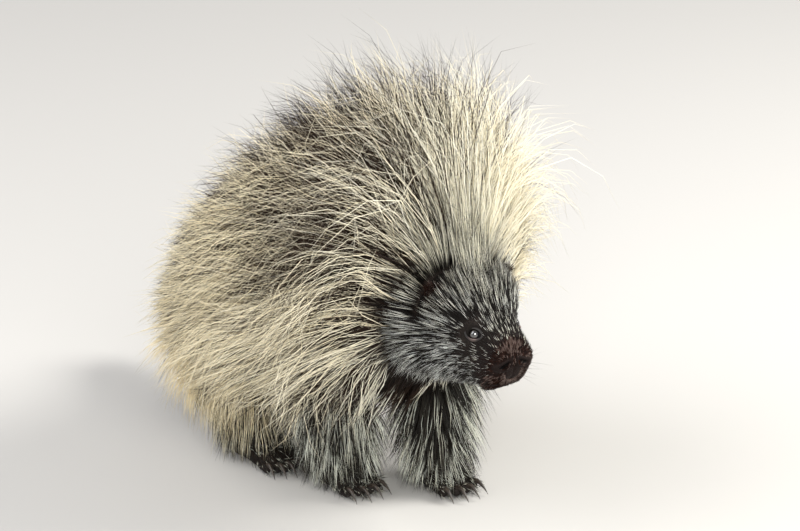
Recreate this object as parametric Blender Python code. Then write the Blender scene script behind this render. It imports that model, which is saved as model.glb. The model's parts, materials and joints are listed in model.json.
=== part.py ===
"""Porcupine of life size, walking, its nape hair raised. Metres, +X forward, +Y left, +Z up."""
import math

import bmesh
import bpy
import numpy as np
from mathutils import Matrix, Vector
from mathutils.bvhtree import BVHTree

# Gaps between parts, and clearance over the floor
GAP = 0.0004
FLOOR_CLEARANCE = 0.005
SOCKET_LOOSENESS = 1.3
SMOOTH_ANGLE = math.radians(42)
SEED = 11

# Stations of the body along its own axis:
# (along, centre across, centre up, half width, rise, drop)
BODY_KEYS = [
    (-0.242, 0, 0.134, 0.058, 0.058, 0.056),
    (-0.192, 0, 0.146, 0.076, 0.082, 0.074),
    (-0.135, 0, 0.160, 0.085, 0.097, 0.086),
    (-0.080, 0, 0.171, 0.087, 0.102, 0.091),
    (-0.025, 0, 0.180, 0.083, 0.097, 0.091),
    (0.035, 0, 0.191, 0.072, 0.083, 0.079),
    (0.080, 0, 0.202, 0.056, 0.060, 0.062),
    (0.110, 0, 0.206, 0.052, 0.052, 0.058),
]
RUMP_ROUNDING = 0.070
NECK_PLANE = 0.026

# The head, in its own frame at the neck
HEAD_PLACE, HEAD_YAW, HEAD_PITCH = (0.070, 0.0, 0.212), -4, 18
HEAD_BACK = 0.014
HEAD_KEYS = [
    (0.000, 0, 0.002, 0.052, 0.054, 0.056),
    (0.025, 0, 0.001, 0.052, 0.050, 0.055),
    (0.050, 0, 0.000, 0.045, 0.044, 0.051),
    (0.070, 0, 0.000, 0.036, 0.038, 0.045),
    (0.090, 0, 0.000, 0.029, 0.030, 0.037),
    (0.105, 0, -0.001, 0.0265, 0.0255, 0.032),
    (0.121, 0, -0.004, 0.025, 0.0225, 0.029),
]
MUZZLE_ROUNDING = 0.017
HEAD_SQUARE = 2.3
# Swellings and hollows of the head: place (along, out, up), radius, height
HEAD_RELIEF = [
    ((0.086, 0.028, 0.019), 0.009, -0.0020),
    ((0.074, 0.022, 0.035), 0.014, 0.0030),
    ((0.048, 0.046, -0.014), 0.024, 0.0040),
    ((0.114, 0.021, 0.004), 0.009, 0.0022),
    ((0.104, 0.026, -0.010), 0.012, 0.0024),
    ((0.098, 0.022, 0.017), 0.009, -0.0014),
    ((0.121, 0.000, -0.028), 0.014, -0.0050),
]
EYE_ALONG, EYE_TURN, EYE_SINK, EYE_RADIUS = 0.0845, 37, 0.0032, 0.0056
LID_HALF_LENGTH, LID_HALF_HEIGHT, LID_RADIUS, LID_TILT = 0.0075, 0.0048, 0.0014, 26
LID_GAP, LID_LOWEST = 0.0007, 0.0034
EAR_AT = (0.046, 0.0365, 0.0255)
EAR_HEIGHT, EAR_WIDTH, EAR_DEPTH, EAR_WALL = 0.028, 0.018, 0.007, 0.0022
EAR_LEAN_OUT, EAR_LEAN_BACK, EAR_TURN = 34, 6, 42
# Rings of an ear from the middle of its front, round the rim, to the middle of its back
EAR_RINGS = ((0.0, 0.0), (0.6, 0.0), (1.0, 0.2), (1.0, 0.8), (0.6, 1.0), (0.0, 1.0))
EAR_RISE, EAR_TAPER = 0.30, 0.14
MOUTH_CENTRE, MOUTH_SPAN = 0.088, 98
MOUTH_FRONT_UP, MOUTH_CORNER_UP = -0.0205, -0.0265
MOUTH_OPENING, MOUTH_DEPTH, MOUTH_OVERREACH = 0.0011, 0.0040, 0.004
LIP_RADIUS, LIP_OFFSET, LIP_SINK = 0.0023, 0.0024, 0.0012
NOSTRIL_ANGLE, NOSTRIL_UP, NOSTRIL_SLOPE = 17, 0.004, 0.45
NOSTRIL_LONG, NOSTRIL_TALL, NOSTRIL_DEPTH = 0.0046, 0.0024, 0.0045
RAY_START = 0.08

# Legs: (height, out from the midline, back from x = 0, half width, backward, forward)
ANKLE_HEIGHT = 0.026
LEG_KEYS = {
    "foreleg_left": [
        (ANKLE_HEIGHT, 0.036, -0.026, 0.018, 0.019, 0.019),
        (0.055, 0.039, -0.019, 0.021, 0.022, 0.022),
        (0.100, 0.046, -0.005, 0.025, 0.028, 0.028),
        (0.150, 0.050, 0.006, 0.026, 0.032, 0.032),
    ],
    "foreleg_right": [
        (ANKLE_HEIGHT, -0.034, 0.029, 0.018, 0.019, 0.019),
        (0.055, -0.037, 0.029, 0.021, 0.022, 0.022),
        (0.100, -0.046, 0.025, 0.025, 0.028, 0.028),
        (0.150, -0.050, 0.020, 0.026, 0.032, 0.032),
    ],
    "hindleg_left": [
        (ANKLE_HEIGHT, 0.057, 0.213, 0.020, 0.022, 0.022),
        (0.055, 0.060, 0.205, 0.024, 0.027, 0.028),
        (0.100, 0.062, 0.185, 0.032, 0.040, 0.042),
        (0.150, 0.058, 0.170, 0.032, 0.046, 0.050),
    ],
    "hindleg_right": [
        (ANKLE_HEIGHT, -0.050, 0.142, 0.020, 0.022, 0.022),
        (0.055, -0.054, 0.145, 0.024, 0.027, 0.028),
        (0.100, -0.061, 0.158, 0.032, 0.042, 0.040),
        (0.150, -0.058, 0.162, 0.032, 0.048, 0.046),
    ],
}
LEG_TOP_ROUNDING = 0.030
LEG_NAP, TAIL_NAP = 0.003, 0.003
# Feet: sole's middle (x, y), turn to the left, length, half width, toes
FOOT_SIZES = {
    "forefoot_left": ((0.036, 0.0360), -4, 0.060, 0.0200, 4),
    "forefoot_right": ((-0.021, -0.0340), -4, 0.060, 0.0200, 4),
    "hindfoot_left": ((-0.198, 0.0580), 6, 0.084, 0.0210, 5),
    "hindfoot_right": ((-0.126, -0.0505), -8, 0.084, 0.0210, 5),
}
FOOT_OF_LEG = {leg: leg.replace("leg", "foot") for leg in LEG_KEYS}
# Sole: (share of its length, share of its half width, centre up, rise, drop)
SOLE_KEYS = [
    (-0.50, 0.70, 0.010, 0.010, 0.012),
    (0.00, 0.95, 0.012, 0.011, 0.014),
    (0.37, 1.00, 0.009, 0.007, 0.011),
]
HEEL_ROUNDING, SOLE_FRONT_ROUNDING, SOLE_SQUARE = 0.014, 0.010, 2.4
ANKLE_FOOT = 0.005
TOE_LENGTH, TOE_RADIUS, TOE_UP = 0.017, 0.0062, 0.0074
TOE_SPLAY, TOE_SPREAD, TOE_INSET, TOE_ARC = 9, 0.80, 0.007, 0.006
CLAW_LENGTH, CLAW_RADIUS, CLAW_TIP_UP = 0.021, 0.0027, 0.002
CLAW_START, CLAW_UP, CLAW_ARCH, CLAW_FLATNESS = 0.30, 0.0025, 0.004, 0.75
CLAW_SHAPE = (1.0, 0.92, 0.60, 0.0)

TAIL_PLACE, TAIL_YAW, TAIL_PITCH = (-0.222, 0.008, 0.120), -14, -25
TAIL_KEYS = [
    (-0.165, -0.006, 0.020, 0.012, 0.010, 0.009),
    (-0.120, -0.003, 0.008, 0.021, 0.018, 0.015),
    (-0.060, 0.0, 0.001, 0.030, 0.025, 0.021),
    (0.010, 0.0, 0.0, 0.036, 0.032, 0.028),
]
TAIL_TIP_ROUNDING, TAIL_END_ROUNDING = 0.030, 0.020

# The coat of the body at these stations and angles down from the spine: depth of its dense core,
# length of the locks, their angles off the skin at root and tip, downward lean of their lie, and droop
COAT_STATIONS = (-0.235, -0.11, -0.01, 0.09)
COAT_ANGLES = (0, 45, 90, 130, 180)
CORE_DEPTH = (
    (0.010, 0.010, 0.010, 0.008, 0.005),
    (0.014, 0.014, 0.014, 0.010, 0.005),
    (0.028, 0.026, 0.018, 0.012, 0.005),
    (0.008, 0.008, 0.006, 0.004, 0.003),
)
LOCK_LENGTH = (
    (0.038, 0.040, 0.038, 0.042, 0.040),
    (0.060, 0.082, 0.096, 0.088, 0.050),
    (0.150, 0.154, 0.144, 0.098, 0.048),
    (0.182, 0.166, 0.114, 0.078, 0.050),
)
ROOT_LIFT = (
    (52, 48, 38, 28, 26),
    (58, 56, 48, 34, 26),
    (90, 80, 60, 38, 24),
    (98, 86, 64, 42, 34),
)
TIP_LIFT = (
    (20, 14, 6, 2, 8),
    (24, 18, 6, 0, 8),
    (60, 26, 8, 0, 8),
    (70, 40, 12, 8, 10),
)
SLANT = (
    (10, 14, 24, 46, 60),
    (-6, -16, 0, 38, 30),
    (-12, -44, -32, 34, 20),
    (0, -54, -44, 44, 20),
)
DROOP = (
    (0.30, 0.40, 0.40, 0.30, 0.0),
    (0.50, 0.85, 0.80, 0.40, 0.0),
    (0.60, 1.20, 1.05, 0.40, 0.0),
    (0.50, 0.90, 0.70, 0.30, 0.0),
)
TORSO_ROWS = (-0.2400, -0.2280, -0.2040, -0.1740, -0.1410, -0.1080, -0.0760, -0.0450, -0.0140, 0.0170)
LOCK_SPACING, NECK_ROWS, NECK_LOCK_SPACING = 0.036, 4, 0.029
NECK_FRONT, NECK_STEPS = 0.08, 5
ROW_MARGIN, NECK_LOW_SIDE, BELLY = 0.008, 100, 132
LOCK_HALF_WIDTH, LOCK_FLATNESS, LOCK_SINK = 0.0135, 0.36, 0.009
LONG_LOCK, LONG_SHAPE, SHORT_SHAPE = 0.075, (0.72, 1.0, 0.84, 0.48), (0.80, 1.0, 0.66)
LOCK_SIDES, THIN_SHARE, THIN_LENGTH, LOCK_WAVE, FEWEST_LOCKS = 3, 0.35, 0.11, 0.45, 6
SMALL_LOCK_WAVE = 0.2
# Locks of the small parts: stations, locks in a ring, depth of their roots, length, lifts, half width
LEG_LOCKS = ((0.060, 0.092), 6, -0.003, 0.036, (22, 6), 0.0105)
TAIL_LOCKS = ((-0.130, -0.095, -0.060, -0.025), 6, -0.005, 0.052, (24, 8), 0.0105)
HEAD_LOCKS = ((0.025, 0.043), 14, -0.004, 0.038, (34, 12), 0.0080)
HEAD_LOCK_SPAN, HEAD_LOCK_SLANT = (-62, 242), 14
# Quills: how many, stations, degrees to each side of the spine, length and lifts
BACK_QUILLS = (30, (-0.225, -0.080), 75, 0.070, (52, 40))
TAIL_QUILLS = (14, (-0.130, -0.030), 75, 0.045, (34, 26))
QUILL_RADIUS, QUILL_SHAPE = 0.0017, (1.0, 0.9)
# Tries to bring a lock clear of its neighbours: shares of its length, more lift, turns sideways
SHORTER, HIGHER, ASIDE = (1.0, 0.82, 0.64), (0, 10, 20, 32, 45), (0, 0.22, -0.22)
STEEPEST_ROOT, STEEPEST_TIP = 105, 115
# Rings along each part and points in a ring
BODY_MESH, NECK_MESH, HEAD_MESH, LEG_MESH, TAIL_MESH = (15, 30), (6, 30), (16, 20), (6, 12), (8, 12)
SOLE_MESH, ANKLE_MESH, TOE_MESH, BALL_MESH, NOSTRIL_MESH = (6, 12), (2, 12), (4, 5), (7, 10), (5, 8)
MOUTH_POINTS, LID_POINTS, EAR_POINTS = 11, 12, 12

COLOURS = {
    "torso": (0.075, 0.062, 0.045),
    "neck": (0.33, 0.29, 0.20),
    "head": (0.045, 0.040, 0.036),
    "tail": (0.10, 0.085, 0.055),
    "ear": (0.020, 0.017, 0.016),
    "eye": (0.006, 0.005, 0.005),
    "foreleg": (0.040, 0.036, 0.033),
    "hindleg": (0.045, 0.040, 0.034),
    "forefoot": (0.028, 0.024, 0.022),
    "hindfoot": (0.028, 0.024, 0.022),
}
ROUGHNESS, EYE_ROUGHNESS = 0.85, 0.12


def spline(keys, at):
    """Smooth curve through keys, whose first column is the place along it."""
    keys = np.asarray(keys, float)
    along, values = keys[:, 0], keys[:, 1:]
    slope = np.gradient(values, along, axis=0)
    at = np.clip(np.asarray(at, float), along[0], along[-1])
    i = np.clip(np.searchsorted(along, at, side="right") - 1, 0, len(along) - 2)
    step = (along[i + 1] - along[i])[..., None]
    q = (at - along[i])[..., None] / step
    start = (2 * q**3 - 3 * q**2 + 1) * values[i] + (q**3 - 2 * q**2 + q) * step * slope[i]
    end = (3 * q**2 - 2 * q**3) * values[i + 1] + (q**3 - q**2) * step * slope[i + 1]
    return start + end


def placed(at, yaw=0.0, pitch=0.0, roll=0.0):
    """Frame at a point, turned left by yaw, nose down by pitch and rolled, in degrees."""
    turn = Matrix.Rotation(math.radians(yaw), 4, "Z") @ Matrix.Rotation(math.radians(pitch), 4, "Y")
    return np.array(Matrix.Translation(at) @ turn @ Matrix.Rotation(math.radians(roll), 4, "X"))


def moved(place, points):
    """Points of a frame, in the world."""
    return np.asarray(points, float) @ place[:3, :3].T + place[:3, 3]


def unit(vector):
    return vector / np.maximum(np.linalg.norm(vector, axis=-1, keepdims=True), 1e-9)


class Loft:
    """A body part: rings across its axis, through stations, with rounded ends."""

    def __init__(self, keys, place=None, start=0.0, end=0.0, square=2.0, sole=None, relief=None):
        self.keys = keys
        self.place = np.eye(4) if place is None else place
        self.ends = (keys[0][0], keys[-1][0])
        self.rounding = (start, end)
        self.square = square
        self.sole = sole
        self.relief = relief

    def bare(self, along, turn):
        y0, z0, wide, rise, drop = np.moveaxis(spline(self.keys, along), -1, 0)
        fade = np.ones_like(along)
        for end, rounding, sign in zip(self.ends, self.rounding, (1, -1)):
            if rounding:
                inside = np.clip(sign * (along - end) / rounding, 0, 1)
                fade = fade * np.sqrt(1 - (1 - inside) ** 2)
        power = 2 / self.square
        across = np.sign(np.cos(turn)) * np.abs(np.cos(turn)) ** power
        up = np.sign(np.sin(turn)) * np.abs(np.sin(turn)) ** power
        tall = np.where(np.sin(turn) > 0, rise, drop)
        points = np.stack([along, y0 + wide * fade * across, z0 + tall * fade * up], -1)
        if self.sole is not None:
            points[..., 2] = np.maximum(points[..., 2], self.sole)
        return points

    def normals(self, along, turn):
        """Outward normals in the part's own frame."""
        nudge = (self.ends[1] - self.ends[0]) * 1e-3
        middle = np.clip(along, self.ends[0] + 4 * nudge, self.ends[1] - 4 * nudge)
        ahead = self.bare(middle + nudge, turn) - self.bare(middle - nudge, turn)
        around = self.bare(middle, turn + 0.02) - self.bare(middle, turn - 0.02)
        return unit(np.cross(around, ahead))

    def local(self, along, turn, grow=0.0):
        """Points along the axis and round it, grown outwards, in the part's own frame."""
        along, turn = np.broadcast_arrays(np.asarray(along, float), np.asarray(turn, float))
        points = self.bare(along, turn)
        if self.relief is not None:
            grow = grow + self.relief(points)
        return points + self.normals(along, turn) * np.broadcast_to(grow, along.shape)[..., None]

    def at(self, along, turn, grow=0.0):
        return moved(self.place, self.local(along, turn, grow))

    def outward(self, along, turn):
        return self.normals(np.asarray(along, float), np.asarray(turn, float)) @ self.place[:3, :3].T

    def stations(self, rows, start=None, end=None):
        """Places along the axis, closer together towards a rounded end."""
        start = self.ends[0] if start is None else start
        end = self.ends[1] if end is None else end
        q = np.linspace(0, 1, rows)
        left = bool(self.rounding[0]) and start == self.ends[0]
        right = bool(self.rounding[1]) and end == self.ends[1]
        if left and right:
            q = (1 - np.cos(q * math.pi)) / 2
        elif left:
            q = 1 - np.cos(q * math.pi / 2) * (1 - 0.25 * q)
        elif right:
            q = np.sin(q * math.pi / 2) * (1 - 0.25 * (1 - q))
        return start + (end - start) * (q - q[0]) / (q[-1] - q[0])

    def solid(self, rows, around, grow=0.0, start=None, end=None):
        """The part as rings of points; grow may be a function of place and angle."""
        along = self.stations(rows, start, end)[:, None]
        turn = np.linspace(0, 2 * math.pi, around, endpoint=False)[None, :]
        rings = self.local(along, turn, grow(along, turn) if callable(grow) else grow)
        if start is not None or not self.rounding[0]:
            rings[0, :, 0] = along[0]
        if end is not None or not self.rounding[1]:
            rings[-1, :, 0] = along[-1]
        return ring_surface(moved(self.place, rings))


def ring_surface(rings):
    """Rings of points joined into a closed surface with flat ends."""
    rows, around = rings.shape[:2]
    faces = [tuple(range(around)), tuple((rows - 1) * around + j for j in range(around))]
    for i in range(rows - 1):
        for j in range(around):
            k = (j + 1) % around
            faces.append((i * around + j, i * around + k, (i + 1) * around + k, (i + 1) * around + j))
    return rings.reshape(-1, 3), faces


def tube(path, across, up, wide, tall, sides=4):
    """Rings of points round a path, the first on top, ending in a point where a width is zero."""
    turn = math.pi / 2 + np.linspace(0, 2 * math.pi, sides, endpoint=False)
    ring = np.cos(turn)[None, :, None] * (across * wide[:, None])[:, None]
    ring = ring + np.sin(turn)[None, :, None] * (up * tall[:, None])[:, None]
    return ring_surface(path[:, None] + ring)


def ellipsoid(centre, axes, rings=7, around=10):
    """Closed ellipsoid whose half axes are the rows of axes."""
    polar = np.linspace(0, math.pi, rings)[:, None]
    turn = np.linspace(0, 2 * math.pi, around, endpoint=False)[None, :]
    flat = np.sin(polar)
    ball = np.stack([flat * np.cos(turn), flat * np.sin(turn), np.cos(polar) + 0 * turn], -1)
    return ring_surface(np.asarray(centre) + ball @ np.asarray(axes))


def swollen(surface, amount):
    """A closed surface moved outwards along the normals of its points."""
    shape = new_object("swollen", surface)
    shape.data.update()
    points = [v.co + v.normal * amount for v in shape.data.vertices]
    faces = [tuple(p.vertices) for p in shape.data.polygons]
    bpy.data.objects.remove(shape, do_unlink=True)
    return np.array(points), faces


def new_object(name, surface):
    """Closed mesh object from points and faces, its faces turned outwards."""
    mesh = bpy.data.meshes.new(name)
    mesh.from_pydata([tuple(p) for p in np.asarray(surface[0]).tolist()], [], surface[1])
    shape = bmesh.new()
    shape.from_mesh(mesh)
    bmesh.ops.remove_doubles(shape, verts=shape.verts, dist=2e-5)
    bmesh.ops.dissolve_degenerate(shape, edges=shape.edges, dist=1e-5)
    bmesh.ops.recalc_face_normals(shape, faces=shape.faces)
    shape.to_mesh(mesh)
    shape.free()
    thing = bpy.data.objects.new(name, mesh)
    bpy.context.collection.objects.link(thing)
    return thing


def largest_surface(thing):
    """Keep only the closed surface that encloses the most."""
    shape = bmesh.new()
    shape.from_mesh(thing.data)
    bmesh.ops.triangulate(shape, faces=shape.faces)
    bmesh.ops.remove_doubles(shape, verts=shape.verts, dist=1e-6)
    left, islands = set(shape.faces), []
    while left:
        queue, island = [left.pop()], []
        while queue:
            face = queue.pop()
            island.append(face)
            for edge in face.edges:
                for other in edge.link_faces:
                    if other in left:
                        left.discard(other)
                        queue.append(other)
        volume = sum(f.verts[0].co.dot(f.verts[1].co.cross(f.verts[2].co)) for f in island)
        islands.append((volume, island))
    islands.sort(key=lambda entry: entry[0])
    drop = [face for _, island in islands[:-1] for face in island]
    bmesh.ops.delete(shape, geom=drop, context="FACES")
    shape.to_mesh(thing.data)
    shape.free()


def combine(thing, surfaces, operation):
    """Join or cut an object with closed surfaces in one step."""
    group = bpy.data.collections.new(thing.name + "_pieces")
    bpy.context.scene.collection.children.link(group)
    for i, surface in enumerate(surfaces):
        piece = new_object("%s_piece_%d" % (thing.name, i), surface)
        bpy.context.collection.objects.unlink(piece)
        group.objects.link(piece)
        piece.hide_render = True
        piece.display_type = "WIRE"
    step = thing.modifiers.new("combine", "BOOLEAN")
    step.operation = operation
    step.solver = "MANIFOLD"
    step.operand_type = "COLLECTION"
    step.collection = group
    finished = thing.evaluated_get(bpy.context.evaluated_depsgraph_get())
    mesh = bpy.data.meshes.new_from_object(finished)
    thing.modifiers.clear()
    thing.data = mesh
    for piece in list(group.objects):
        bpy.data.objects.remove(piece, do_unlink=True)
    bpy.data.collections.remove(group)
    largest_surface(thing)


def coat_value(table, along, turn):
    """A coat table read at places along the body and angles round it."""
    down = np.degrees(np.abs(np.angle(np.exp(1j * (np.asarray(turn) - math.pi / 2)))))
    along, down = np.broadcast_arrays(np.asarray(along, float), down)
    rows = np.array([np.interp(down, COAT_ANGLES, row) for row in table])
    place = np.clip(np.interp(along, COAT_STATIONS, range(len(COAT_STATIONS))), 0, len(table) - 1.001)
    i = place.astype(int)
    q = place - i
    low = np.take_along_axis(rows, i[None], 0)[0]
    high = np.take_along_axis(rows, i[None] + 1, 0)[0]
    return low + (high - low) * q


def core(along, turn):
    """Depth of the coat's dense core over the skin."""
    return coat_value(CORE_DEPTH, along, turn)


def head_relief(local):
    """Height of the head's swellings and hollows at points in its own frame."""
    height = np.zeros(local.shape[:-1])
    for (along, out, up), radius, rise in HEAD_RELIEF:
        for side in (1, -1) if out else (1,):
            away = ((local - np.array((along, side * out, up))) ** 2).sum(-1)
            height += rise * np.exp(-away / radius**2)
    return height


def lock(root, length, lifts, half_width, wave=0.0, droop=0.0, swell=0.0, shape=None, flat=LOCK_FLATNESS):
    """A flat tapered lock with a ridge: it leaves its root at one lift, bends to another and droops."""
    base, outward, lie, sideways = root
    shape = shape or (LONG_SHAPE if length > LONG_LOCK else SHORT_SHAPE)
    t = np.linspace(0, 1, len(shape) + 1)[:, None]
    lift = np.radians(lifts[0] + (lifts[1] - lifts[0]) * t**0.8)
    sway = wave * np.sin(t * 5.0)
    lean = lie * np.cos(sway) + sideways * np.sin(sway)
    heading = unit(lean * np.cos(lift) + outward * np.sin(lift))
    heading = unit(heading - np.array((0, 0, 1)) * droop * t**1.2)
    steps = (heading[1:] + heading[:-1]) / 2 * (length + swell) / len(shape)
    path = np.concatenate([base[None], base + np.cumsum(steps, 0)])
    across = unit(sideways - heading * (heading @ sideways)[:, None])
    up = np.cross(heading, across)
    size = np.append(shape, 0.0)
    wide = size * half_width + swell * (size > 0)
    tall = size * half_width * flat + swell * (size > 0)
    return tube(path, across, up, wide, tall, LOCK_SIDES)


def tree_of(surface):
    return BVHTree.FromPolygons([tuple(p) for p in np.asarray(surface[0]).tolist()], surface[1])


def tree_of_object(thing):
    points = [tuple(v.co) for v in thing.data.vertices]
    return BVHTree.FromPolygons(points, [tuple(p.vertices) for p in thing.data.polygons])


def is_clear(surface, own, others):
    """Whether a surface is off the floor and clear of every part but its own."""
    if surface[0][:, 2].min() < FLOOR_CLEARANCE:
        return False
    tree = tree_of(surface)
    return not any(tree.overlap(other) for name, other in others.items() if name != own)


def rooted(part, along, turn, depth, slant):
    """Root of a lock: point, outward direction, lie and sideways direction."""
    outward = part.outward(along, turn)
    flow = -part.place[:3, 0] * math.cos(slant) - np.array((0, 0, 1)) * math.sin(slant)
    lie = unit(flow - outward * (flow @ outward))
    return part.at(along, turn, depth), outward, lie, np.cross(outward, lie)


def fitted_lock(own, others, root, length, lifts, half_width, **kind):
    """A lock turned, raised and then shortened until it is clear of the other parts."""
    base, outward, lie, sideways = root
    for share in SHORTER:
        for more in HIGHER:
            for turn in ASIDE:
                leaning = lie * math.cos(turn) + sideways * math.sin(turn)
                turned = (base, outward, leaning, np.cross(outward, leaning))
                raised = (min(lifts[0] + more, STEEPEST_ROOT), min(lifts[1] + more, STEEPEST_TIP))
                if is_clear(lock(turned, length * share, raised, half_width, swell=GAP, **kind), own, others):
                    return lock(turned, length * share, raised, half_width, **kind)
    return None


def down_angle(turn):
    """Degrees down from the spine, for an angle round the body."""
    return abs(math.degrees(math.remainder(turn - math.pi / 2, 2 * math.pi)))


def torso_row(i, turn):
    return TORSO_ROWS[i]


def neck_row(i, turn):
    """Rows of the neck spread from the torso to the slanting plane behind the head."""
    front = NECK_FRONT
    for _ in range(NECK_STEPS):
        front += behind_head(BODY.at(front, turn, core(front, turn))) - ROW_MARGIN
    back = NECK_PLANE + ROW_MARGIN
    return back + (front - back) * i / (NECK_ROWS - 1)


def body_locks(own, others, rows, row_place, spacing, sparse_from, rng):
    """Overlapping rows of locks round a length of the body, every other row left out underneath."""
    found = []
    for i in range(rows):
        turns = np.linspace(0, 2 * math.pi, 48)
        middle = row_place(i, math.pi / 2)
        ring = BODY.at(middle, turns, core(middle, turns))
        count = max(FEWEST_LOCKS, round(np.linalg.norm(np.diff(ring, axis=0), axis=-1).sum() / spacing))
        for j in range(count):
            turn = math.pi / 2 + 2 * math.pi * (j + 0.5 * (i % 2) + rng.uniform(-0.2, 0.2)) / count
            place = row_place(i, turn) + rng.uniform(-0.005, 0.005) * (0 < i < rows - 1)
            depth, length, root_lift, tip_lift, slant, droop = [
                float(coat_value(table, place, turn))
                for table in (CORE_DEPTH, LOCK_LENGTH, ROOT_LIFT, TIP_LIFT, SLANT, DROOP)]
            root = rooted(BODY, place, turn, depth - LOCK_SINK, math.radians(slant + rng.uniform(-12, 12)))
            length = (length - depth + LOCK_SINK) * rng.uniform(0.85, 1.12)
            lifts = (root_lift + rng.uniform(-5, 5), tip_lift + rng.uniform(-12, 12))
            width = LOCK_HALF_WIDTH * rng.uniform(0.85, 1.15) * min(1.0, THIN_SHARE + length / THIN_LENGTH)
            wave = rng.uniform(-LOCK_WAVE, LOCK_WAVE)
            if i % 2 == 0 and down_angle(turn) > sparse_from:
                continue
            found.append(fitted_lock(own, others, root, length, lifts, width, wave=wave, droop=droop))
    return [one for one in found if one is not None]


def ring_locks(own, others, part, rows, count, depth, length, lifts, half_width, rng, span=(0, 360), slant=0):
    """Locks in rows round a small part such as a leg, the tail or the head."""
    found = []
    for i, along in enumerate(rows):
        for j in range(count):
            share = (j + 0.25 + 0.5 * (i % 2) + rng.uniform(-0.15, 0.15)) / count
            turn = math.radians(span[0] + (span[1] - span[0]) * share)
            root = rooted(part, along, turn, depth, math.radians(slant + rng.uniform(-8, 8)))
            size = length * rng.uniform(0.85, 1.15)
            wave = rng.uniform(-SMALL_LOCK_WAVE, SMALL_LOCK_WAVE)
            found.append(fitted_lock(own, others, root, size, lifts, half_width, wave=wave))
    return [one for one in found if one is not None]


def quills(own, others, part, count, span, spread, length, lifts, depth, rng):
    """Straight stiff spines among the locks."""
    found = []
    for _ in range(count):
        along, turn = rng.uniform(*span), math.radians(90 + rng.uniform(-spread, spread))
        sunk = (float(depth(along, turn)) if callable(depth) else depth) - LOCK_SINK
        root = rooted(part, along, turn, sunk, math.radians(rng.uniform(-14, 14)))
        found.append(fitted_lock(own, others, root, length * rng.uniform(0.85, 1.1), lifts, QUILL_RADIUS,
                                 shape=QUILL_SHAPE, flat=1.0))
    return [one for one in found if one is not None]


BODY = Loft(BODY_KEYS, start=RUMP_ROUNDING)
HEAD = Loft(HEAD_KEYS, placed(HEAD_PLACE, HEAD_YAW, HEAD_PITCH), end=MUZZLE_ROUNDING,
            square=HEAD_SQUARE, relief=head_relief)
TAIL = Loft(TAIL_KEYS, placed(TAIL_PLACE, TAIL_YAW, TAIL_PITCH), start=TAIL_TIP_ROUNDING,
            end=TAIL_END_ROUNDING)
# A leg's own axis points up, and its rise is towards the tail
UPRIGHT = np.array([[0, 0, -1, 0], [0, 1, 0, 0], [1, 0, 0, 0], [0, 0, 0, 1]], float)
LEGS = {name: Loft(keys, UPRIGHT, end=LEG_TOP_ROUNDING) for name, keys in LEG_KEYS.items()}


def behind_head(point):
    """Distance of a point behind the head's back plane."""
    return float((moved(HEAD.place, (HEAD_BACK, 0, 0)) - point) @ HEAD.place[:3, 0])


def half_space(place, along, size=0.5):
    """A large block in front of a plane across a frame's axis."""
    corners = np.array([(x, y, z) for x in (0, 1) for y in (-1, 1) for z in (-1, 1)], float)
    corners = corners * (size, size, size) + (along, 0, 0)
    faces = [(0, 1, 3, 2), (4, 6, 7, 5), (0, 4, 5, 1), (2, 3, 7, 6), (0, 2, 6, 4), (1, 5, 7, 3)]
    return moved(place, corners), faces


def make_foot(name, leg):
    """Foot on a flat sole, with an ankle, toes and curved claws."""
    (x, y), yaw, length, half_width, toes = FOOT_SIZES[name]
    place = placed((x, y, 0), yaw)
    keys = [(share * length, 0, up, wide * half_width, rise, drop)
            for share, wide, up, rise, drop in SOLE_KEYS]
    sole = Loft(keys, place, start=HEEL_ROUNDING, end=SOLE_FRONT_ROUNDING, square=SOLE_SQUARE, sole=0.0)
    ring = LEG_KEYS[leg][0][1:]
    ankle = Loft([(ANKLE_FOOT, *ring), (ANKLE_HEIGHT, *ring)], UPRIGHT)
    pieces = [ankle.solid(*ANKLE_MESH, LEG_NAP)]
    t = np.linspace(0, 1, len(CLAW_SHAPE))[:, None]
    size = np.array(CLAW_SHAPE) * CLAW_RADIUS
    for i in range(toes):
        share = (i - (toes - 1) / 2) / ((toes - 1) / 2)
        turn = math.radians(-TOE_SPLAY * share)
        ahead = np.array((math.cos(turn), -math.sin(turn), 0))
        across = np.array((math.sin(turn), math.cos(turn), 0))
        front = length / 2 - TOE_INSET - TOE_ARC * share**2
        middle = np.array((front, share * half_width * TOE_SPREAD, TOE_UP))
        axes = [ahead * TOE_LENGTH / 2, across * TOE_RADIUS * 0.85, (0, 0, TOE_RADIUS)]
        surface = ellipsoid(middle, axes, *TOE_MESH)
        pieces.append((moved(place, surface[0]), surface[1]))
        start = middle + ahead * TOE_LENGTH * CLAW_START + (0, 0, CLAW_UP)
        drop = start[2] - CLAW_TIP_UP
        path = start + ahead * CLAW_LENGTH * t + (0, 0, 1) * (CLAW_ARCH * np.sin(t * 3.0) - drop * t**1.6)
        sideways, upward = np.broadcast_to(across, path.shape), np.broadcast_to((0.0, 0.0, 1.0), path.shape)
        claw = tube(path, sideways, upward, size * CLAW_FLATNESS, size, 3)
        pieces.append((moved(place, claw[0]), claw[1]))
    foot = new_object(name, sole.solid(*SOLE_MESH))
    combine(foot, pieces, "UNION")
    return foot


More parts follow.
